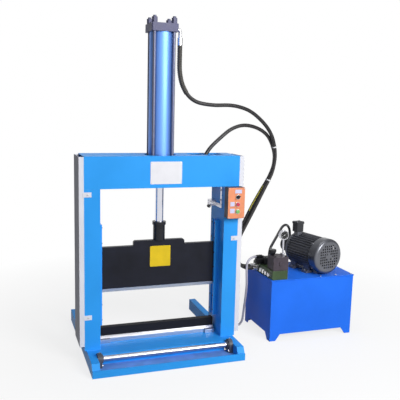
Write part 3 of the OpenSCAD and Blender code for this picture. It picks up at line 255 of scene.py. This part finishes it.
# Plastics and rubber
plastic = surface("black_plastic", (0.012, 0.012, 0.015), 0.40, vary=0.2, scale=30, grain=800, bump=0.10,
                  edge=0.001, gloss=0.3, wear=(0.07, 0.07, 0.08), wear_amount=0.4)
board = surface("board_plastic", (0.008, 0.008, 0.012), 0.62, vary=0.3, scale=14, grain=160, bump=0.30,
                stretch=(0.3, 1, 2), gloss=0.2, wear=(0.05, 0.05, 0.06), wear_amount=0.5)
red = surface("red_plastic", (0.62, 0.030, 0.070), 0.30, vary=0.08, scale=60, grain=900, bump=0.03,
              edge=0.002, coat=0.3)
green = surface("green_plastic", (0.20, 0.52, 0.14), 0.30, vary=0.08, scale=60, grain=900, bump=0.03,
                edge=0.002, coat=0.3)
guard_plastic = surface("guard_plastic", (0.075, 0.070, 0.060), 0.46, vary=0.15, scale=60, grain=700,
                        bump=0.08, edge=0.0005)
conduit_skin = surface("conduit_plastic", (0.50, 0.49, 0.57), 0.45, vary=0.07, scale=30, grain=500,
                       bump=0.08, edge=0.0004)
tie_white = surface("tie_nylon", (0.78, 0.78, 0.80), 0.45, vary=0.05, scale=60, grain=700, bump=0.05,
                    edge=0.0005)
rubber = surface("hose_rubber", (0.024, 0.022, 0.023), 0.40, vary=0.45, scale=130, grain=420, bump=0.35,
                 edge=0.0004)
hose_gloss = surface("hose_gloss", (0.020, 0.020, 0.024), 0.20, vary=0.3, scale=90, grain=500, bump=0.12,
                     edge=0.0004, coat=0.3)

# Plates and marks
white_plate = surface("white_plate", (0.80, 0.80, 0.84), 0.40, vary=0.03, scale=16, grain=600, bump=0.02,
                      edge=0.0006, gloss=0.25)
yellow_plate = surface("yellow_plate", (0.80, 0.56, 0.015), 0.40, vary=0.06, scale=20, grain=700, bump=0.03,
                       edge=0.0006, gloss=0.25)
tag_plate = surface("tag_plate", (0.62, 0.62, 0.84), 0.42, vary=0.06, scale=60, grain=900, bump=0.02,
                    edge=0.0004)
stripe_ink = surface("stripe_ink", (0.56, 0.50, 0.03), 0.50, vary=0.25, scale=90, grain=500, bump=0.05,
                     edge=0.0004)
dial_black = surface("dial_face", (0.018, 0.018, 0.020), 0.30, vary=0.1, scale=90, grain=900, bump=0.02,
                     edge=0.0003)

GROUND_TOP = (0.4372, 0.4382)    # heights between which the knife's ground steel ends at its paint
GROUND_METAL = 0.12
BLACK_ROUGHNESS, GROUND_ROUGHNESS = 0.38, 0.22
KNIFE_WEAR, KNIFE_GLOSS, KNIFE_BUMP = 0.4, 0.18, 0.06


def knife_finish():
    """Black paint, and ground steel along the cutting edge."""
    m, tree, p = shader("knife_finish")
    co = tree.nodes.new("ShaderNodeTexCoord")
    split = tree.nodes.new("ShaderNodeSeparateXYZ")
    link(tree, co.outputs["Object"], split.inputs[0])
    ground = span(tree, split.outputs["Z"], *GROUND_TOP, 1, 0)
    slow = span(tree, noise(tree, scale=6, detail=5), *NOISE_BAND, 0, 1)
    black = mix(tree, slow, (0.006, 0.0068, 0.012), (0.013, 0.0145, 0.025))
    normal, mask = edge_mask(tree, EDGE_RADIUS)
    worn = mix(tree, span(tree, mask, 0, 1, 0, KNIFE_WEAR), black, (0.16, 0.16, 0.18))
    streak = span(tree, noise(tree, scale=60, detail=3, stretch=(0.05, 1, 5)), *NOISE_BAND, 0, 1)
    steel = mix(tree, streak, (0.84, 0.84, 0.85), (0.96, 0.96, 0.96))
    link(tree, mix(tree, ground, worn, steel), p.inputs["Base Color"])
    link(tree, span(tree, ground, 0, 1, 0, GROUND_METAL), p.inputs["Metallic"])
    link(tree, span(tree, ground, 0, 1, BLACK_ROUGHNESS, GROUND_ROUGHNESS), p.inputs["Roughness"])
    p.inputs["Specular IOR Level"].default_value = KNIFE_GLOSS
    add_bump(tree, p, KNIFE_BUMP, noise(tree, scale=260, detail=2), normal)
    return m


FINISH = {
    paint: "left_skid right_skid front_bar deck_plate left_post right_post beam_front_plate beam_rear_plate "
           "cylinder_mount_plate beam_top_cover knife_guides",
    tray_paint: "tray_floor",
    lacquer: "cylinder_tube",
    tie_steel: "tie_rods",
    tank_paint: "tank_shell tank_lid",
    sheet: "left_side_cover right_side_cover",
    bright: "cover_screws bed_bars limit_switch motor_shaft pressure_gauge",
    fitting: "port_fittings hose_fittings lid_screws button_collars limit_lever",
    chrome: "piston_rod",
    roller_steel: "bale_roller",
    board: "cutting_board",
    dark_paint: "rod_coupling",
    knife_finish(): "knife",
    cap_steel: "cylinder_cap cylinder_head tie_rod_nuts",
    bearing_grey: "roller_bearings",
    cast: "piston directional_valve pump bell_housing terminal_box",
    motor: "motor_frame motor_end_shields",
    cowl: "fan_cover",
    plastic: "selector_knob limit_roller cooling_fan relief_knob solenoids",
    red: "red_button",
    green: "green_button",
    box_paint: "control_box",
    panel_paint: "control_panel",
    olive: "manifold_block",
    relief: "relief_valve",
}
for material, names in FINISH.items():
    for name in names.split():
        for material_slot in nodes[name].material_slots:
            material_slot.material = material


# Shapes that the pieces are made of
BEVEL_STEPS = 3
ALONG_Y = 0.05    # a heading whose side is shorter than this runs along Y
SOCKET_RIM, SOCKET_DEPTH = 0.22, 0.6    # parts of a socket head's width and height
WASHER_WIDE, WASHER_HIGH, HEAD_HIGH = 1.45, 0.18, 0.82    # parts of a bolt head's width and height
CORNER = range(0, 91, 15)    # degrees round a plate's corner


def piece(name, bm, material, body, bevel=0.0, round_faces=False):
    """An object made from the mesh, riding on a body."""
    bmesh.ops.recalc_face_normals(bm, faces=bm.faces)
    for face in bm.faces:
        face.smooth = round_faces
    mesh = bpy.data.meshes.new(name)
    bm.to_mesh(mesh)
    bm.free()
    mesh.materials.append(material)
    obj = bpy.data.objects.new(name, mesh)
    scene.collection.objects.link(obj)
    if bevel:
        mod = obj.modifiers.new("round", "BEVEL")
        mod.width = bevel
        mod.segments = BEVEL_STEPS
        mod.limit_method = "ANGLE"
    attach(obj, body)
    return obj


def skin(bm, loops, closed=False):
    """Faces between rings of corners that follow each other."""
    rings = [[bm.verts.new(p) for p in ring] for ring in loops]
    n = len(rings[0])
    for a, b in list(zip(rings, rings[1:])) + ([(rings[-1], rings[0])] if closed else []):
        for k in range(n):
            bm.faces.new((a[k], a[(k + 1) % n], b[(k + 1) % n], b[k]))
    if not closed:
        bm.faces.new(rings[0][::-1])
        bm.faces.new(rings[-1])


def axes(way):
    """Two directions across a heading."""
    side = Vector(way).cross(Vector((0, 1, 0)))
    if side.length < ALONG_Y:
        side = Vector(way).cross(Vector((1, 0, 0)))
    side.normalize()
    return side, side.cross(Vector(way)).normalized()


def ring_at(at, way, turn, r, wide, thick, corners):
    """An oval section of a ring about a heading, r out from its middle."""
    side, up = axes(way)
    out = math.cos(turn) * side + math.sin(turn) * up
    around = [math.tau * k / corners for k in range(corners)]
    return [at + out * (r + thick * math.cos(b)) + way * (wide * math.sin(b)) for b in around]


def add_hoop(bm, at, way, r, thick, sides=40, corners=8):
    """A round ring about a heading."""
    at, way = Vector(at), Vector(way).normalized()
    turns = [math.tau * k / sides for k in range(sides)]
    skin(bm, [ring_at(at, way, turn, r, thick, thick, corners) for turn in turns], closed=True)


def add_stud(bm, at, way, d, h, sides=24, top=None):
    """A round or hexagonal stud on a face, h high along its heading. Gives its end face."""
    way = Vector(way).normalized()
    turn = Vector((0, 0, 1)).rotation_difference(way).to_matrix().to_4x4()
    place = Matrix.Translation(Vector(at) + way * (h / 2)) @ turn
    made = bmesh.ops.create_cone(bm, cap_ends=True, segments=sides, radius1=d / 2, radius2=(top or d) / 2,
                                 depth=h, matrix=place)["verts"]
    return max({f for v in made for f in v.link_faces}, key=lambda f: f.calc_center_median().dot(way))


def add_socket(bm, at, way, d, h):
    """A round bolt head with a hollow for its key."""
    way = Vector(way).normalized()
    face = add_stud(bm, at, way, d, h)
    bmesh.ops.inset_individual(bm, faces=[face], thickness=d * SOCKET_RIM, depth=0)
    floor = bmesh.ops.extrude_discrete_faces(bm, faces=[face])["faces"][0]
    bmesh.ops.translate(bm, verts=floor.verts, vec=way * (-h * SOCKET_DEPTH))


def add_bolt(bm, at, way, d, h):
    """A hexagon head on a washer."""
    way = Vector(way).normalized()
    add_stud(bm, at, way, d * WASHER_WIDE, h * WASHER_HIGH)
    add_stud(bm, Vector(at) + way * (h * WASHER_HIGH), way, d, h * HEAD_HIGH, 6)


def add_box(bm, place, size):
    bmesh.ops.create_cube(bm, size=1.0, matrix=place @ Matrix.Diagonal((*size, 1)))


def add_plate(bm, x0, z0, x1, z1, y, thick, r):
    """A thin plate with round corners on a front face, thick towards the front, in millimetres."""
    corners = ((x1 - r, z1 - r, 0), (x0 + r, z1 - r, 90), (x0 + r, z0 + r, 180), (x1 - r, z0 + r, 270))
    rim = [(cx, cz, math.radians(start + k)) for cx, cz, start in corners for k in CORNER]
    skin(bm, [[mm(cx + r * math.cos(a), depth, cz + r * math.sin(a)) for cx, cz, a in rim]
              for depth in (y, y - thick)])


# Hoses and conduit: each one's diameter and route, in millimetres
ROUTES = {
    "upper_hose": (25, [
        (118, 125, 1975), (118, 125, 1905), (119, 125, 1830), (130, 125, 1765), (150, 127, 1715),
        (184, 130, 1667), (232, 135, 1635), (290, 140, 1620), (375, 150, 1613), (480, 165, 1615),
        (565, 180, 1604), (645, 200, 1579), (720, 220, 1535), (790, 235, 1475), (840, 250, 1410),
        (868, 260, 1340), (879, 265, 1276), (878, 270, 1218), (867, 275, 1155), (844, 280, 1096),
        (811, 286, 1025), (757, 294, 910), (702, 299, 800), (650, 297, 702), (628, 290, 660),
        (612, 278, 618), (606, 266, 573), (611, 257, 541), (626, 252, 511), (649, 250, 488),
        (679, 250, 473), (711, 250, 468), (734, 250, 468)]),
    "lower_hose": (25, [
        (170, 125, 1157), (186, 125, 1157), (219, 127, 1162), (251, 133, 1177), (279, 142, 1205),
        (301, 151, 1247), (326, 158, 1299), (366, 167, 1347), (454, 185, 1419), (508, 196, 1455),
        (564, 207, 1476), (614, 218, 1483), (665, 229, 1479), (720, 242, 1465), (773, 258, 1442),
        (818, 273, 1410), (850, 285, 1370), (872, 292, 1328), (886, 294, 1281), (889, 297, 1238),
        (884, 300, 1191), (866, 304, 1137), (840, 308, 1083), (800, 314, 1014), (742, 320, 908),
        (687, 324, 796), (635, 321, 700), (615, 318, 658), (604, 315, 618), (602, 313, 573),
        (608, 311, 541), (624, 310, 511), (648, 310, 488), (679, 310, 473), (711, 310, 468),
        (734, 310, 468)]),
    "control_conduit": (16, [
        (756, 230, 555), (744, 230, 555), (726, 230, 553), (709, 229, 546), (694, 228, 535),
        (683, 226, 520), (676, 224, 503), (674, 222, 483), (674, 219, 440), (676, 218, 395),
        (679, 222, 350), (681, 233, 296), (684, 250, 236), (686, 268, 176), (687, 282, 124),
        (687, 290, 86), (685, 293, 66), (678, 296, 48), (667, 298, 34), (652, 300, 23),
        (635, 301, 16), (617, 302, 13), (598, 303, 13), (573, 304, 17), (548, 304, 29),
        (523, 305, 41), (500, 305, 45), (488, 305, 45)]),
    "pressure_hose": (20, [
        (1129.3, 459, 638), (1129.3, 459, 650), (1125, 456, 679), (1113, 448, 704), (1094, 435, 723),
        (1071, 420, 733), (1046, 403, 733), (1023, 388, 723), (1004, 375, 707), (965, 349, 668),
        (907, 310, 612), (892, 300, 592), (883, 294, 568), (880, 292, 544), (880, 292, 532)]),
}
ROUTE_STEPS = 6    # steps of the smooth line between two points of a route
CORD_ROUNDNESS = 6
GUARD_STEPS, GUARD_CORNERS = 20, 10    # steps in a turn of the hose guard, corners of its section
TIE_STEPS, TIE_THICK, TIE_HALF = 56, 0.0014, 0.004    # steps round a tie, its thickness and half its width
TIE_RADIUS = 0.0130
LOCK_OUT, LOCK_SIZE = 0.003, (0.005, 0.009, 0.010)
TAIL_ASIDE, TAIL_SIZE = 0.010, (0.0014, 0.012, 0.007)
STRIPE_ABOVE, STRIPE_BELOW, STRIPE_STEPS = 0.0003, 0.0008, 4    # about the hose's surface
STRIPE_RUN = slice(135, 148)    # the points of the lower hose that carry the stripe
STRIPE_FACING = (-0.60, -0.75, 0.30)


def route(name):
    """Points on a smooth curve through a cord's route."""
    p = [mm(*q) for q in ROUTES[name][1]]
    out = []
    for i in range(len(p) - 1):
        a, b, c, d = p[max(i - 1, 0)], p[i], p[i + 1], p[min(i + 2, len(p) - 1)]
        for k in range(ROUTE_STEPS):
            t = k / ROUTE_STEPS
            out.append(0.5 * (2 * b + (c - a) * t + (2 * a - 5 * b + 4 * c - d) * t * t
                              + (3 * b - a - 3 * c + d) * t ** 3))
    return out + [p[-1]]


def walk(points, step, reach):
    """Places and headings at equal steps along a line of points."""
    out, left = [], 0.0
    for a, b in zip(points, points[1:]):
        length = (b - a).length
        while left <= length:
            out.append((a.lerp(b, left / length), (b - a).normalized()))
            left += step
            if len(out) * step > reach:
                return out
        left -= length
    return out


def spiral_guard(name, points, reach, r, pitch, wide, thick):
    """A flat guard wound round a hose."""
    steps = enumerate(walk(points, pitch / GUARD_STEPS, reach))
    bm = bmesh.new()
    skin(bm, [ring_at(at, way, math.tau * i / GUARD_STEPS, r, wide, thick, GUARD_CORNERS)
              for i, (at, way) in steps])
    return piece(name, bm, guard_plastic, "machine", round_faces=True)


def hose_tie(name, a, b, way):
    """A nylon band round two hoses, with its lock and tail."""
    way = Vector(way).normalized()
    gap = b - a
    gap -= way * gap.dot(way)
    u = gap.normalized()
    v = way.cross(u)
    inner, outer = TIE_RADIUS, TIE_RADIUS + TIE_THICK
    section = ((inner, TIE_HALF), (outer, TIE_HALF), (outer, -TIE_HALF), (inner, -TIE_HALF))
    loops = []
    for k in range(TIE_STEPS):
        turn = math.tau * (k + 0.5) / TIE_STEPS
        out = math.cos(turn) * u + math.sin(turn) * v
        mid = (a + b) / 2 + u * math.copysign(gap.length / 2, math.cos(turn))
        loops.append([mid + out * d + way * w for d, w in section])
    bm = bmesh.new()
    skin(bm, loops, closed=True)
    side = Matrix((u, v, way)).transposed().to_4x4()
    lock = a - u * (TIE_RADIUS + LOCK_OUT)
    add_box(bm, Matrix.Translation(lock) @ side, LOCK_SIZE)
    add_box(bm, Matrix.Translation(lock - v * TAIL_ASIDE) @ side, TAIL_SIZE)
    return piece(name, bm, tie_white, "machine", bevel=0.0004)


def hose_stripe(name, points, facing, r, wide):
    """A printed stripe along a hose, on the side that faces that way."""
    facing = Vector(facing)
    turns = [wide / r * (k / STRIPE_STEPS - 0.5) for k in range(STRIPE_STEPS + 1)]
    section = [(r + STRIPE_ABOVE, t) for t in turns] + [(r - STRIPE_BELOW, t) for t in reversed(turns)]
    loops = []
    for a, b in zip(points, points[1:]):
        way = (b - a).normalized()
        side = (facing - way * facing.dot(way)).normalized()
        across = way.cross(side)
        loops.append([a + d * (math.cos(t) * side + math.sin(t) * across) for d, t in section])
    bm = bmesh.new()
    skin(bm, loops)
    return piece(name, bm, stripe_ink, "machine")


def add_cord(name, material):
    """A hose or conduit in place of its CAD node."""
    d = ROUTES[name][0]
    points = route(name)
    data = bpy.data.curves.new(name + "_skin", "CURVE")
    data.dimensions = "3D"
    data.bevel_depth = d / MM / 2
    data.bevel_resolution = CORD_ROUNDNESS
    data.use_fill_caps = True
    line = data.splines.new("POLY")
    line.points.add(len(points) - 1)
    for q, co in zip(line.points, points):
        q.co = (*co, 1)
    data.materials.append(material)
    obj = bpy.data.objects.new(name + "_skin", data)
    scene.collection.objects.link(obj)
    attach(obj, "machine")
    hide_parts(name)


hose_guard = spiral_guard("hose_guard", route("upper_hose"), reach=0.30, r=0.0140, pitch=0.0105,
                          wide=0.0040, thick=0.0020)
tie_high = hose_tie("hose_tie_high", mm(869, 260.5, 1334), mm(869, 291, 1334), (0.22, 0.07, -1))
tie_low = hose_tie("hose_tie_low", mm(844, 280, 1096), mm(846.5, 307, 1096), (-0.40, 0.08, -1))
add_cord("upper_hose", rubber)
stripe = hose_stripe("hose_stripe", route("lower_hose")[STRIPE_RUN], STRIPE_FACING, r=0.0125, wide=0.005)
add_cord("lower_hose", rubber)
add_cord("pressure_hose", hose_gloss)
add_cord("control_conduit", conduit_skin)


# Pieces: places and plates in millimetres, other sizes in metres
FRONT, UP, LEFT, RIGHT = (0, -1, 0), (0, 0, 1), (-1, 0, 0), (1, 0, 0)
SOFT, FINE = 0.0005, 0.0003    # widths of rounded edges
MOTOR_AT = (1226, 40, 571)    # the middle of the fan cover's face
MOTOR_TURN = math.radians(13)    # the motor's turn on the tank's lid
BEAM_FACE, KNIFE_FACE, PANEL_FACE = 0, 110, -63    # front faces
BEAM_PLATE_THICK = 1.5
GAUGE_AT = (879, 66, 740)
KNOB_AT, KNOB_RIBS, KNOB_RADIUS = (809, 98, 627.4), 28, 0.026
POST_IN, POST_OUT, POST_REAR, FOOT = 402, 487, 245, 82    # edges of a post and the height of its foot
WELD_RADIUS = 0.0042


def motor_way(x, y, z):
    """A direction in the motor's own frame."""
    c, s = math.cos(MOTOR_TURN), math.sin(MOTOR_TURN)
    return Vector((c * x - s * y, s * x + c * y, z))


def motor_at(x, y, z):
    """A point in the motor's own frame, from the middle of the fan cover's face."""
    return mm(*MOTOR_AT) + motor_way(x, y, z) / MM


def diagonals():
    """Cosine and sine of the four turns half way between the axes."""
    turns = [math.radians(45 + 90 * k) for k in range(4)]
    return [(math.cos(t), math.sin(t)) for t in turns]


def plates():
    """Bare plates on the beam, the knife and the control panel."""
    bm = bmesh.new()
    add_plate(bm, -93, 1121, 110, 1261, BEAM_FACE, thick=BEAM_PLATE_THICK, r=4)
    piece("beam_plate", bm, white_plate, "machine", SOFT)
    bm = bmesh.new()
    for x, z in product((-86, 103), (1128, 1254)):
        add_stud(bm, mm(x, BEAM_FACE - BEAM_PLATE_THICK, z), FRONT, d=0.006, h=0.002, sides=20, top=0.0042)
    piece("beam_plate_rivets", bm, fitting, "machine", SOFT)
    bm = bmesh.new()
    add_plate(bm, -62, 566, 75, 703, KNIFE_FACE, thick=1, r=5)
    piece("knife_plate", bm, yellow_plate, "ram", 0.0004)
    bm = bmesh.new()
    for corners in ((417, 977, 446, 1006), (416, 933, 448, 962), (448, 1060, 494, 1084)):
        add_plate(bm, *corners, PANEL_FACE, thick=1, r=2)
    piece("panel_tags", bm, tag_plate, "machine", FINE)


def panel_screws():
    bm = bmesh.new()
    for x, z in product((408, 510), (904, 1091)):
        add_socket(bm, mm(x, PANEL_FACE, z), FRONT, d=0.007, h=0.003)
    piece("panel_screws", bm, bolt_steel, "machine", FINE)


def gauge_face():
    """Dial with its marks and needle in the gauge's rim."""
    mid = mm(*GAUGE_AT)
    marks, mark_rim, mark_step, first_mark = 21, 0.0255, 13.5, -135
    needle_turn = -118

    def before(depth):
        return mid + Vector((0, -depth, 0))

    bm = bmesh.new()
    add_stud(bm, mid, FRONT, d=0.0574, h=0.0008, sides=48)
    add_hoop(bm, before(0.001), FRONT, r=0.0278, thick=0.0010, sides=48)
    piece("gauge_dial", bm, dial_black, "machine")
    bm = bmesh.new()
    for k in range(marks):
        wide, long = (0.0013, 0.006) if k % 5 == 0 else (0.0008, 0.0035)
        turn = Matrix.Rotation(math.radians(first_mark + mark_step * k), 4, "Y")
        out = Matrix.Translation((0, 0, mark_rim - long / 2))
        add_box(bm, Matrix.Translation(before(0.0010)) @ turn @ out, (wide, 0.0005, long))
    needle = Matrix.Translation(before(0.0020)) @ Matrix.Rotation(math.radians(needle_turn), 4, "Y")
    add_box(bm, needle @ Matrix.Translation((0, 0, 0.008)), (0.0012, 0.0006, 0.028))
    add_stud(bm, before(0.0008), FRONT, d=0.006, h=0.0022, sides=20)
    piece("gauge_marks", bm, tie_white, "machine")


def motor_bolts():
    """Screws of the terminal box and fan cover, and bolts of the end shield, bell housing and feet."""
    behind = motor_way(0, 1, 0)
    bm = bmesh.new()
    for x, y in product((-62, -10), (279, 321)):
        add_socket(bm, motor_at(x, y, 206), UP, d=0.008, h=0.004)
    for c, s in diagonals():
        add_socket(bm, motor_at(126 * c, 71, 126 * s), motor_way(c, 0, s), d=0.010, h=0.004)
    piece("motor_screws", bm, bolt_steel, "machine", FINE)
    bm = bmesh.new()
    for r, y, d, h in ((97, 344, 0.013, 0.008), (64, 402, 0.011, 0.007)):
        for c, s in diagonals():
            add_bolt(bm, motor_at(r * c, y, r * s), behind, d, h)
    for x, y in product((-99, 99), (137, 277)):
        add_bolt(bm, motor_at(x, y, -118), UP, d=0.011, h=0.008)
    piece("motor_bolts", bm, bolt_steel, "machine", FINE)


def valve_bolts():
    """Bolts of the relief valve, directional valve, solenoid plugs and manifold."""
    bm = bmesh.new()
    for x, y in ((802, 38), (886, 38), (886, 114)):
        add_socket(bm, mm(x, y, 595), UP, d=0.013, h=0.008)
    for x, y in product((814, 866), (212, 248)):
        add_socket(bm, mm(x, y, 549), UP, d=0.009, h=0.005)
    for x in (775, 905):
        add_socket(bm, mm(x, 230, 565), UP, d=0.007, h=0.003)
    for x in (796, 860):
        add_socket(bm, mm(x, 328, 499), UP, d=0.012, h=0.008)
    piece("valve_bolts", bm, black_bolt, "machine", FINE)


def knob_grip():
    """Ribs round the relief knob's rim."""
    bm = bmesh.new()
    for k in range(KNOB_RIBS):
        turn = Matrix.Translation(mm(*KNOB_AT)) @ Matrix.Rotation(math.tau * k / KNOB_RIBS, 4, "Z")
        add_box(bm, turn @ Matrix.Translation((KNOB_RADIUS, 0, 0)), (0.0022, 0.0028, 0.013))
    piece("knob_ribs", bm, plastic, "adjuster", SOFT)


def bearing_bolts():
    """Bolts and a grease nipple on each bearing unit."""
    bm = bmesh.new()
    for side in (-1, 1):
        for y in (-127, -73):
            add_bolt(bm, mm(side * 414, y, 33), (-side, 0, 0), d=0.013, h=0.007)
        add_stud(bm, mm(side * 427, -100, 101.5), UP, d=0.008, h=0.004, sides=6)
        add_stud(bm, mm(side * 427, -100, 105.5), UP, d=0.005, h=0.004, sides=20, top=0.003)
        add_hoop(bm, mm(side * 427, -100, 109), UP, r=0.0016, thick=0.0014, sides=20)
    piece("bearing_bolts", bm, bolt_steel, "machine", FINE)


def frame_bolts():
    """Bolts of the knife guides and of the limit switch and its bracket."""
    bm = bmesh.new()
    for side, y, z in product((-1, 1), (100.5, 149.5), range(240, 841, 100)):
        add_socket(bm, mm(side * 376, y, z), (-side, 0, 0), d=0.010, h=0.003)
    piece("guide_bolts", bm, black_bolt, "machine", FINE)
    bm = bmesh.new()
    for z in (1000, 1066):
        add_bolt(bm, mm(398, 57, z), LEFT, d=0.011, h=0.006)
    for z, y in product((957, 976), (170, 206)):
        add_socket(bm, mm(366, y, z), LEFT, d=0.006, h=0.003)
    piece("switch_bolts", bm, bolt_steel, "machine", FINE)


def threads():
    """Threads on the ends of the tie rods."""
    first, pitch = 2132.2, 1.9
    bm = bmesh.new()
    for x, y, k in product((-62, 62), (63, 187), range(4)):
        add_hoop(bm, mm(x, y, first + pitch * k), UP, r=0.0099, thick=0.0006, sides=32, corners=6)
    piece("tie_rod_threads", bm, tie_steel, "machine", round_faces=True)


def crimps():
    """Crimped rings on the hose ferrules, and rings of the conduit's glands."""
    crimp = {"r": 0.0157, "thick": 0.0012}
    bm = bmesh.new()
    for k in range(4):
        add_hoop(bm, mm(118, 125, 1981 + 10 * k), UP, **crimp)
        add_hoop(bm, mm(130 + 10 * k, 125, 1157), RIGHT, **crimp)
    for y, k in product((250, 310), range(3)):
        add_hoop(bm, mm(738 + 9 * k, y, 468), RIGHT, **crimp)
    piece("ferrule_rings", bm, fitting, "machine", round_faces=True)
    bm = bmesh.new()
    for at, way in ((mm(754, 230, 555), LEFT), (mm(490, 305, 45), RIGHT)):
        for k, r in enumerate((0.0092, 0.0092, 0.0086)):
            add_hoop(bm, at + Vector(way) * (0.003 * k), way, r, thick=0.0018, sides=24)
    piece("gland_rings", bm, plastic, "machine", round_faces=True)


def weld_beads():
    """Weld beads round the feet of the posts, uneven in height."""
    corner_gap, rear_end = 2, 440
    runs = (((POST_IN, 0), (POST_OUT, 0)), ((POST_IN, corner_gap), (POST_IN, POST_REAR - corner_gap)),
            ((POST_IN, POST_REAR), (rear_end, POST_REAR)))
    height, uneven, wave = 0.8, 0.08, 2.3
    bm = bmesh.new()
    for side, ends in product((-1, 1), runs):
        a, b = [mm(side * x, y, FOOT) for x, y in ends]
        n = round((b - a).length / WELD_RADIUS)
        for k in range(n + 1):
            high = height + uneven * math.sin(wave * k)
            place = Matrix.Translation(a.lerp(b, k / n)) @ Matrix.Diagonal((1, 1, high, 1))
            bmesh.ops.create_icosphere(bm, subdivisions=1, radius=WELD_RADIUS, matrix=place)
    piece("weld_beads", bm, paint, "machine", round_faces=True)


for make in (plates, panel_screws, gauge_face, motor_bolts, valve_bolts, knob_grip, bearing_bolts,
             frame_bolts, threads, crimps, weld_beads):
    make()


# Studio
FLOOR_AT, FLOOR_HALF = (0.4, 0.5, -0.0006), 14
FLOOR_FADE = (1.0, 2.6)    # metres from the floor's middle between which the shadow fades
FLOOR_WHITE = (0.80, 1.0)    # the share of plain white at those places
FLOOR_PALE, FLOOR_BOUNCE = (0.95, 0.95, 0.96, 1), (0.30, 0.30, 0.31, 1)
WHITE = (1, 1, 1, 1)
ROOM_COLOR, ROOM_STRENGTH = (0.92, 0.95, 1.0, 1), 0.09
WALL_BAND, WALL_LIGHT = (0.52, 0.88), (0.08, 1.0)    # by how far a mirror looks forward or back
SKY_BAND, SKY_LIGHT = (0.60, 0.95), (0.0, 0.7)    # by how far it looks up
LAMPS = (    # name, place, aim, size and watts
    ("key", (2.2, -4.4, 3.0), (0.4, 0.4, 1.0), 2.6, 282),
    ("fill", (-3.2, -2.6, 2.2), (0.2, 0.4, 0.9), 2.4, 10),
    ("high", (-0.2, -3.0, 2.6), (0.0, 0.2, 1.4), 1.8, 14),
    ("top", (0.4, 0.6, 4.4), (0.4, 0.5, 0.5), 2.6, 38),
)


def seen_rays(tree):
    """1 for what the camera sees, also in mirrors and through glass."""
    path = tree.nodes.new("ShaderNodeLightPath")
    total = path.outputs["Is Camera Ray"]
    for key in ("Is Glossy Ray", "Is Transmission Ray"):
        total = calc(tree, "MAXIMUM", total, path.outputs[key])
    return total


def mix_shaders(tree, factor, a, b):
    n = tree.nodes.new("ShaderNodeMixShader")
    link(tree, factor, n.inputs["Fac"])
    link(tree, a, n.inputs[1])
    link(tree, b, n.inputs[2])
    return n.outputs[0]


def diffuse(tree, color):
    n = tree.nodes.new("ShaderNodeBsdfDiffuse")
    n.inputs["Color"].default_value = color
    return n.outputs[0]


def add_floor():
    """Pale floor that keeps the shadow near the machine and fades to white around it."""
    bm = bmesh.new()
    bmesh.ops.create_grid(bm, x_segments=1, y_segments=1, size=FLOOR_HALF)
    mesh = bpy.data.meshes.new("floor")
    bm.to_mesh(mesh)
    bm.free()
    m = bpy.data.materials.new("floor")
    m.use_nodes = True
    tree = m.node_tree
    tree.nodes.clear()
    out = tree.nodes.new("ShaderNodeOutputMaterial")
    glow = tree.nodes.new("ShaderNodeEmission")
    co = tree.nodes.new("ShaderNodeTexCoord")
    far = tree.nodes.new("ShaderNodeVectorMath")
    far.operation = "LENGTH"
    link(tree, co.outputs["Object"], far.inputs[0])
    white = span(tree, far.outputs["Value"], *FLOOR_FADE, *FLOOR_WHITE)
    shown = mix_shaders(tree, white, diffuse(tree, FLOOR_PALE), glow.outputs[0])
    floor_shader = mix_shaders(tree, seen_rays(tree), diffuse(tree, FLOOR_BOUNCE), shown)
    link(tree, floor_shader, out.inputs["Surface"])
    mesh.materials.append(m)
    floor = bpy.data.objects.new("floor", mesh)
    floor.location = FLOOR_AT
    scene.collection.objects.link(floor)


def add_world():
    """Dim light all round, white to the camera. Mirrors see it bright in front, behind and above only."""
    world = bpy.data.worlds.new("studio")
    scene.world = world
    world.use_nodes = True
    tree = world.node_tree
    room = tree.nodes["Background"]
    room.inputs["Color"].default_value = ROOM_COLOR
    room.inputs["Strength"].default_value = ROOM_STRENGTH
    co = tree.nodes.new("ShaderNodeTexCoord")
    way = tree.nodes.new("ShaderNodeSeparateXYZ")
    link(tree, co.outputs["Generated"], way.inputs[0])
    wall = span(tree, calc(tree, "ABSOLUTE", way.outputs["Y"]), *WALL_BAND, *WALL_LIGHT)
    sky = span(tree, way.outputs["Z"], *SKY_BAND, *SKY_LIGHT)
    mirror = tree.nodes.new("ShaderNodeBackground")
    link(tree, calc(tree, "MAXIMUM", wall, sky), mirror.inputs["Strength"])
    white = tree.nodes.new("ShaderNodeBackground")
    for n in (mirror, white):
        n.inputs["Color"].default_value = WHITE
    path = tree.nodes.new("ShaderNodeLightPath")
    lit = mix_shaders(tree, path.outputs["Is Glossy Ray"], room.outputs[0], mirror.outputs[0])
    clear = calc(tree, "MAXIMUM", path.outputs["Is Camera Ray"], path.outputs["Is Transmission Ray"])
    backdrop = mix_shaders(tree, clear, lit, white.outputs[0])
    link(tree, backdrop, tree.nodes["World Output"].inputs["Surface"])


def add_lamps():
    for name, at, aim, size, power in LAMPS:
        data = bpy.data.lights.new(name, "AREA")
        data.size = size
        data.energy = power
        lamp = bpy.data.objects.new(name, data)
        lamp.location = at
        lamp.rotation_euler = (Vector(aim) - Vector(at)).to_track_quat("-Z", "Y").to_euler()
        scene.collection.objects.link(lamp)


add_floor()
add_world()
add_lamps()
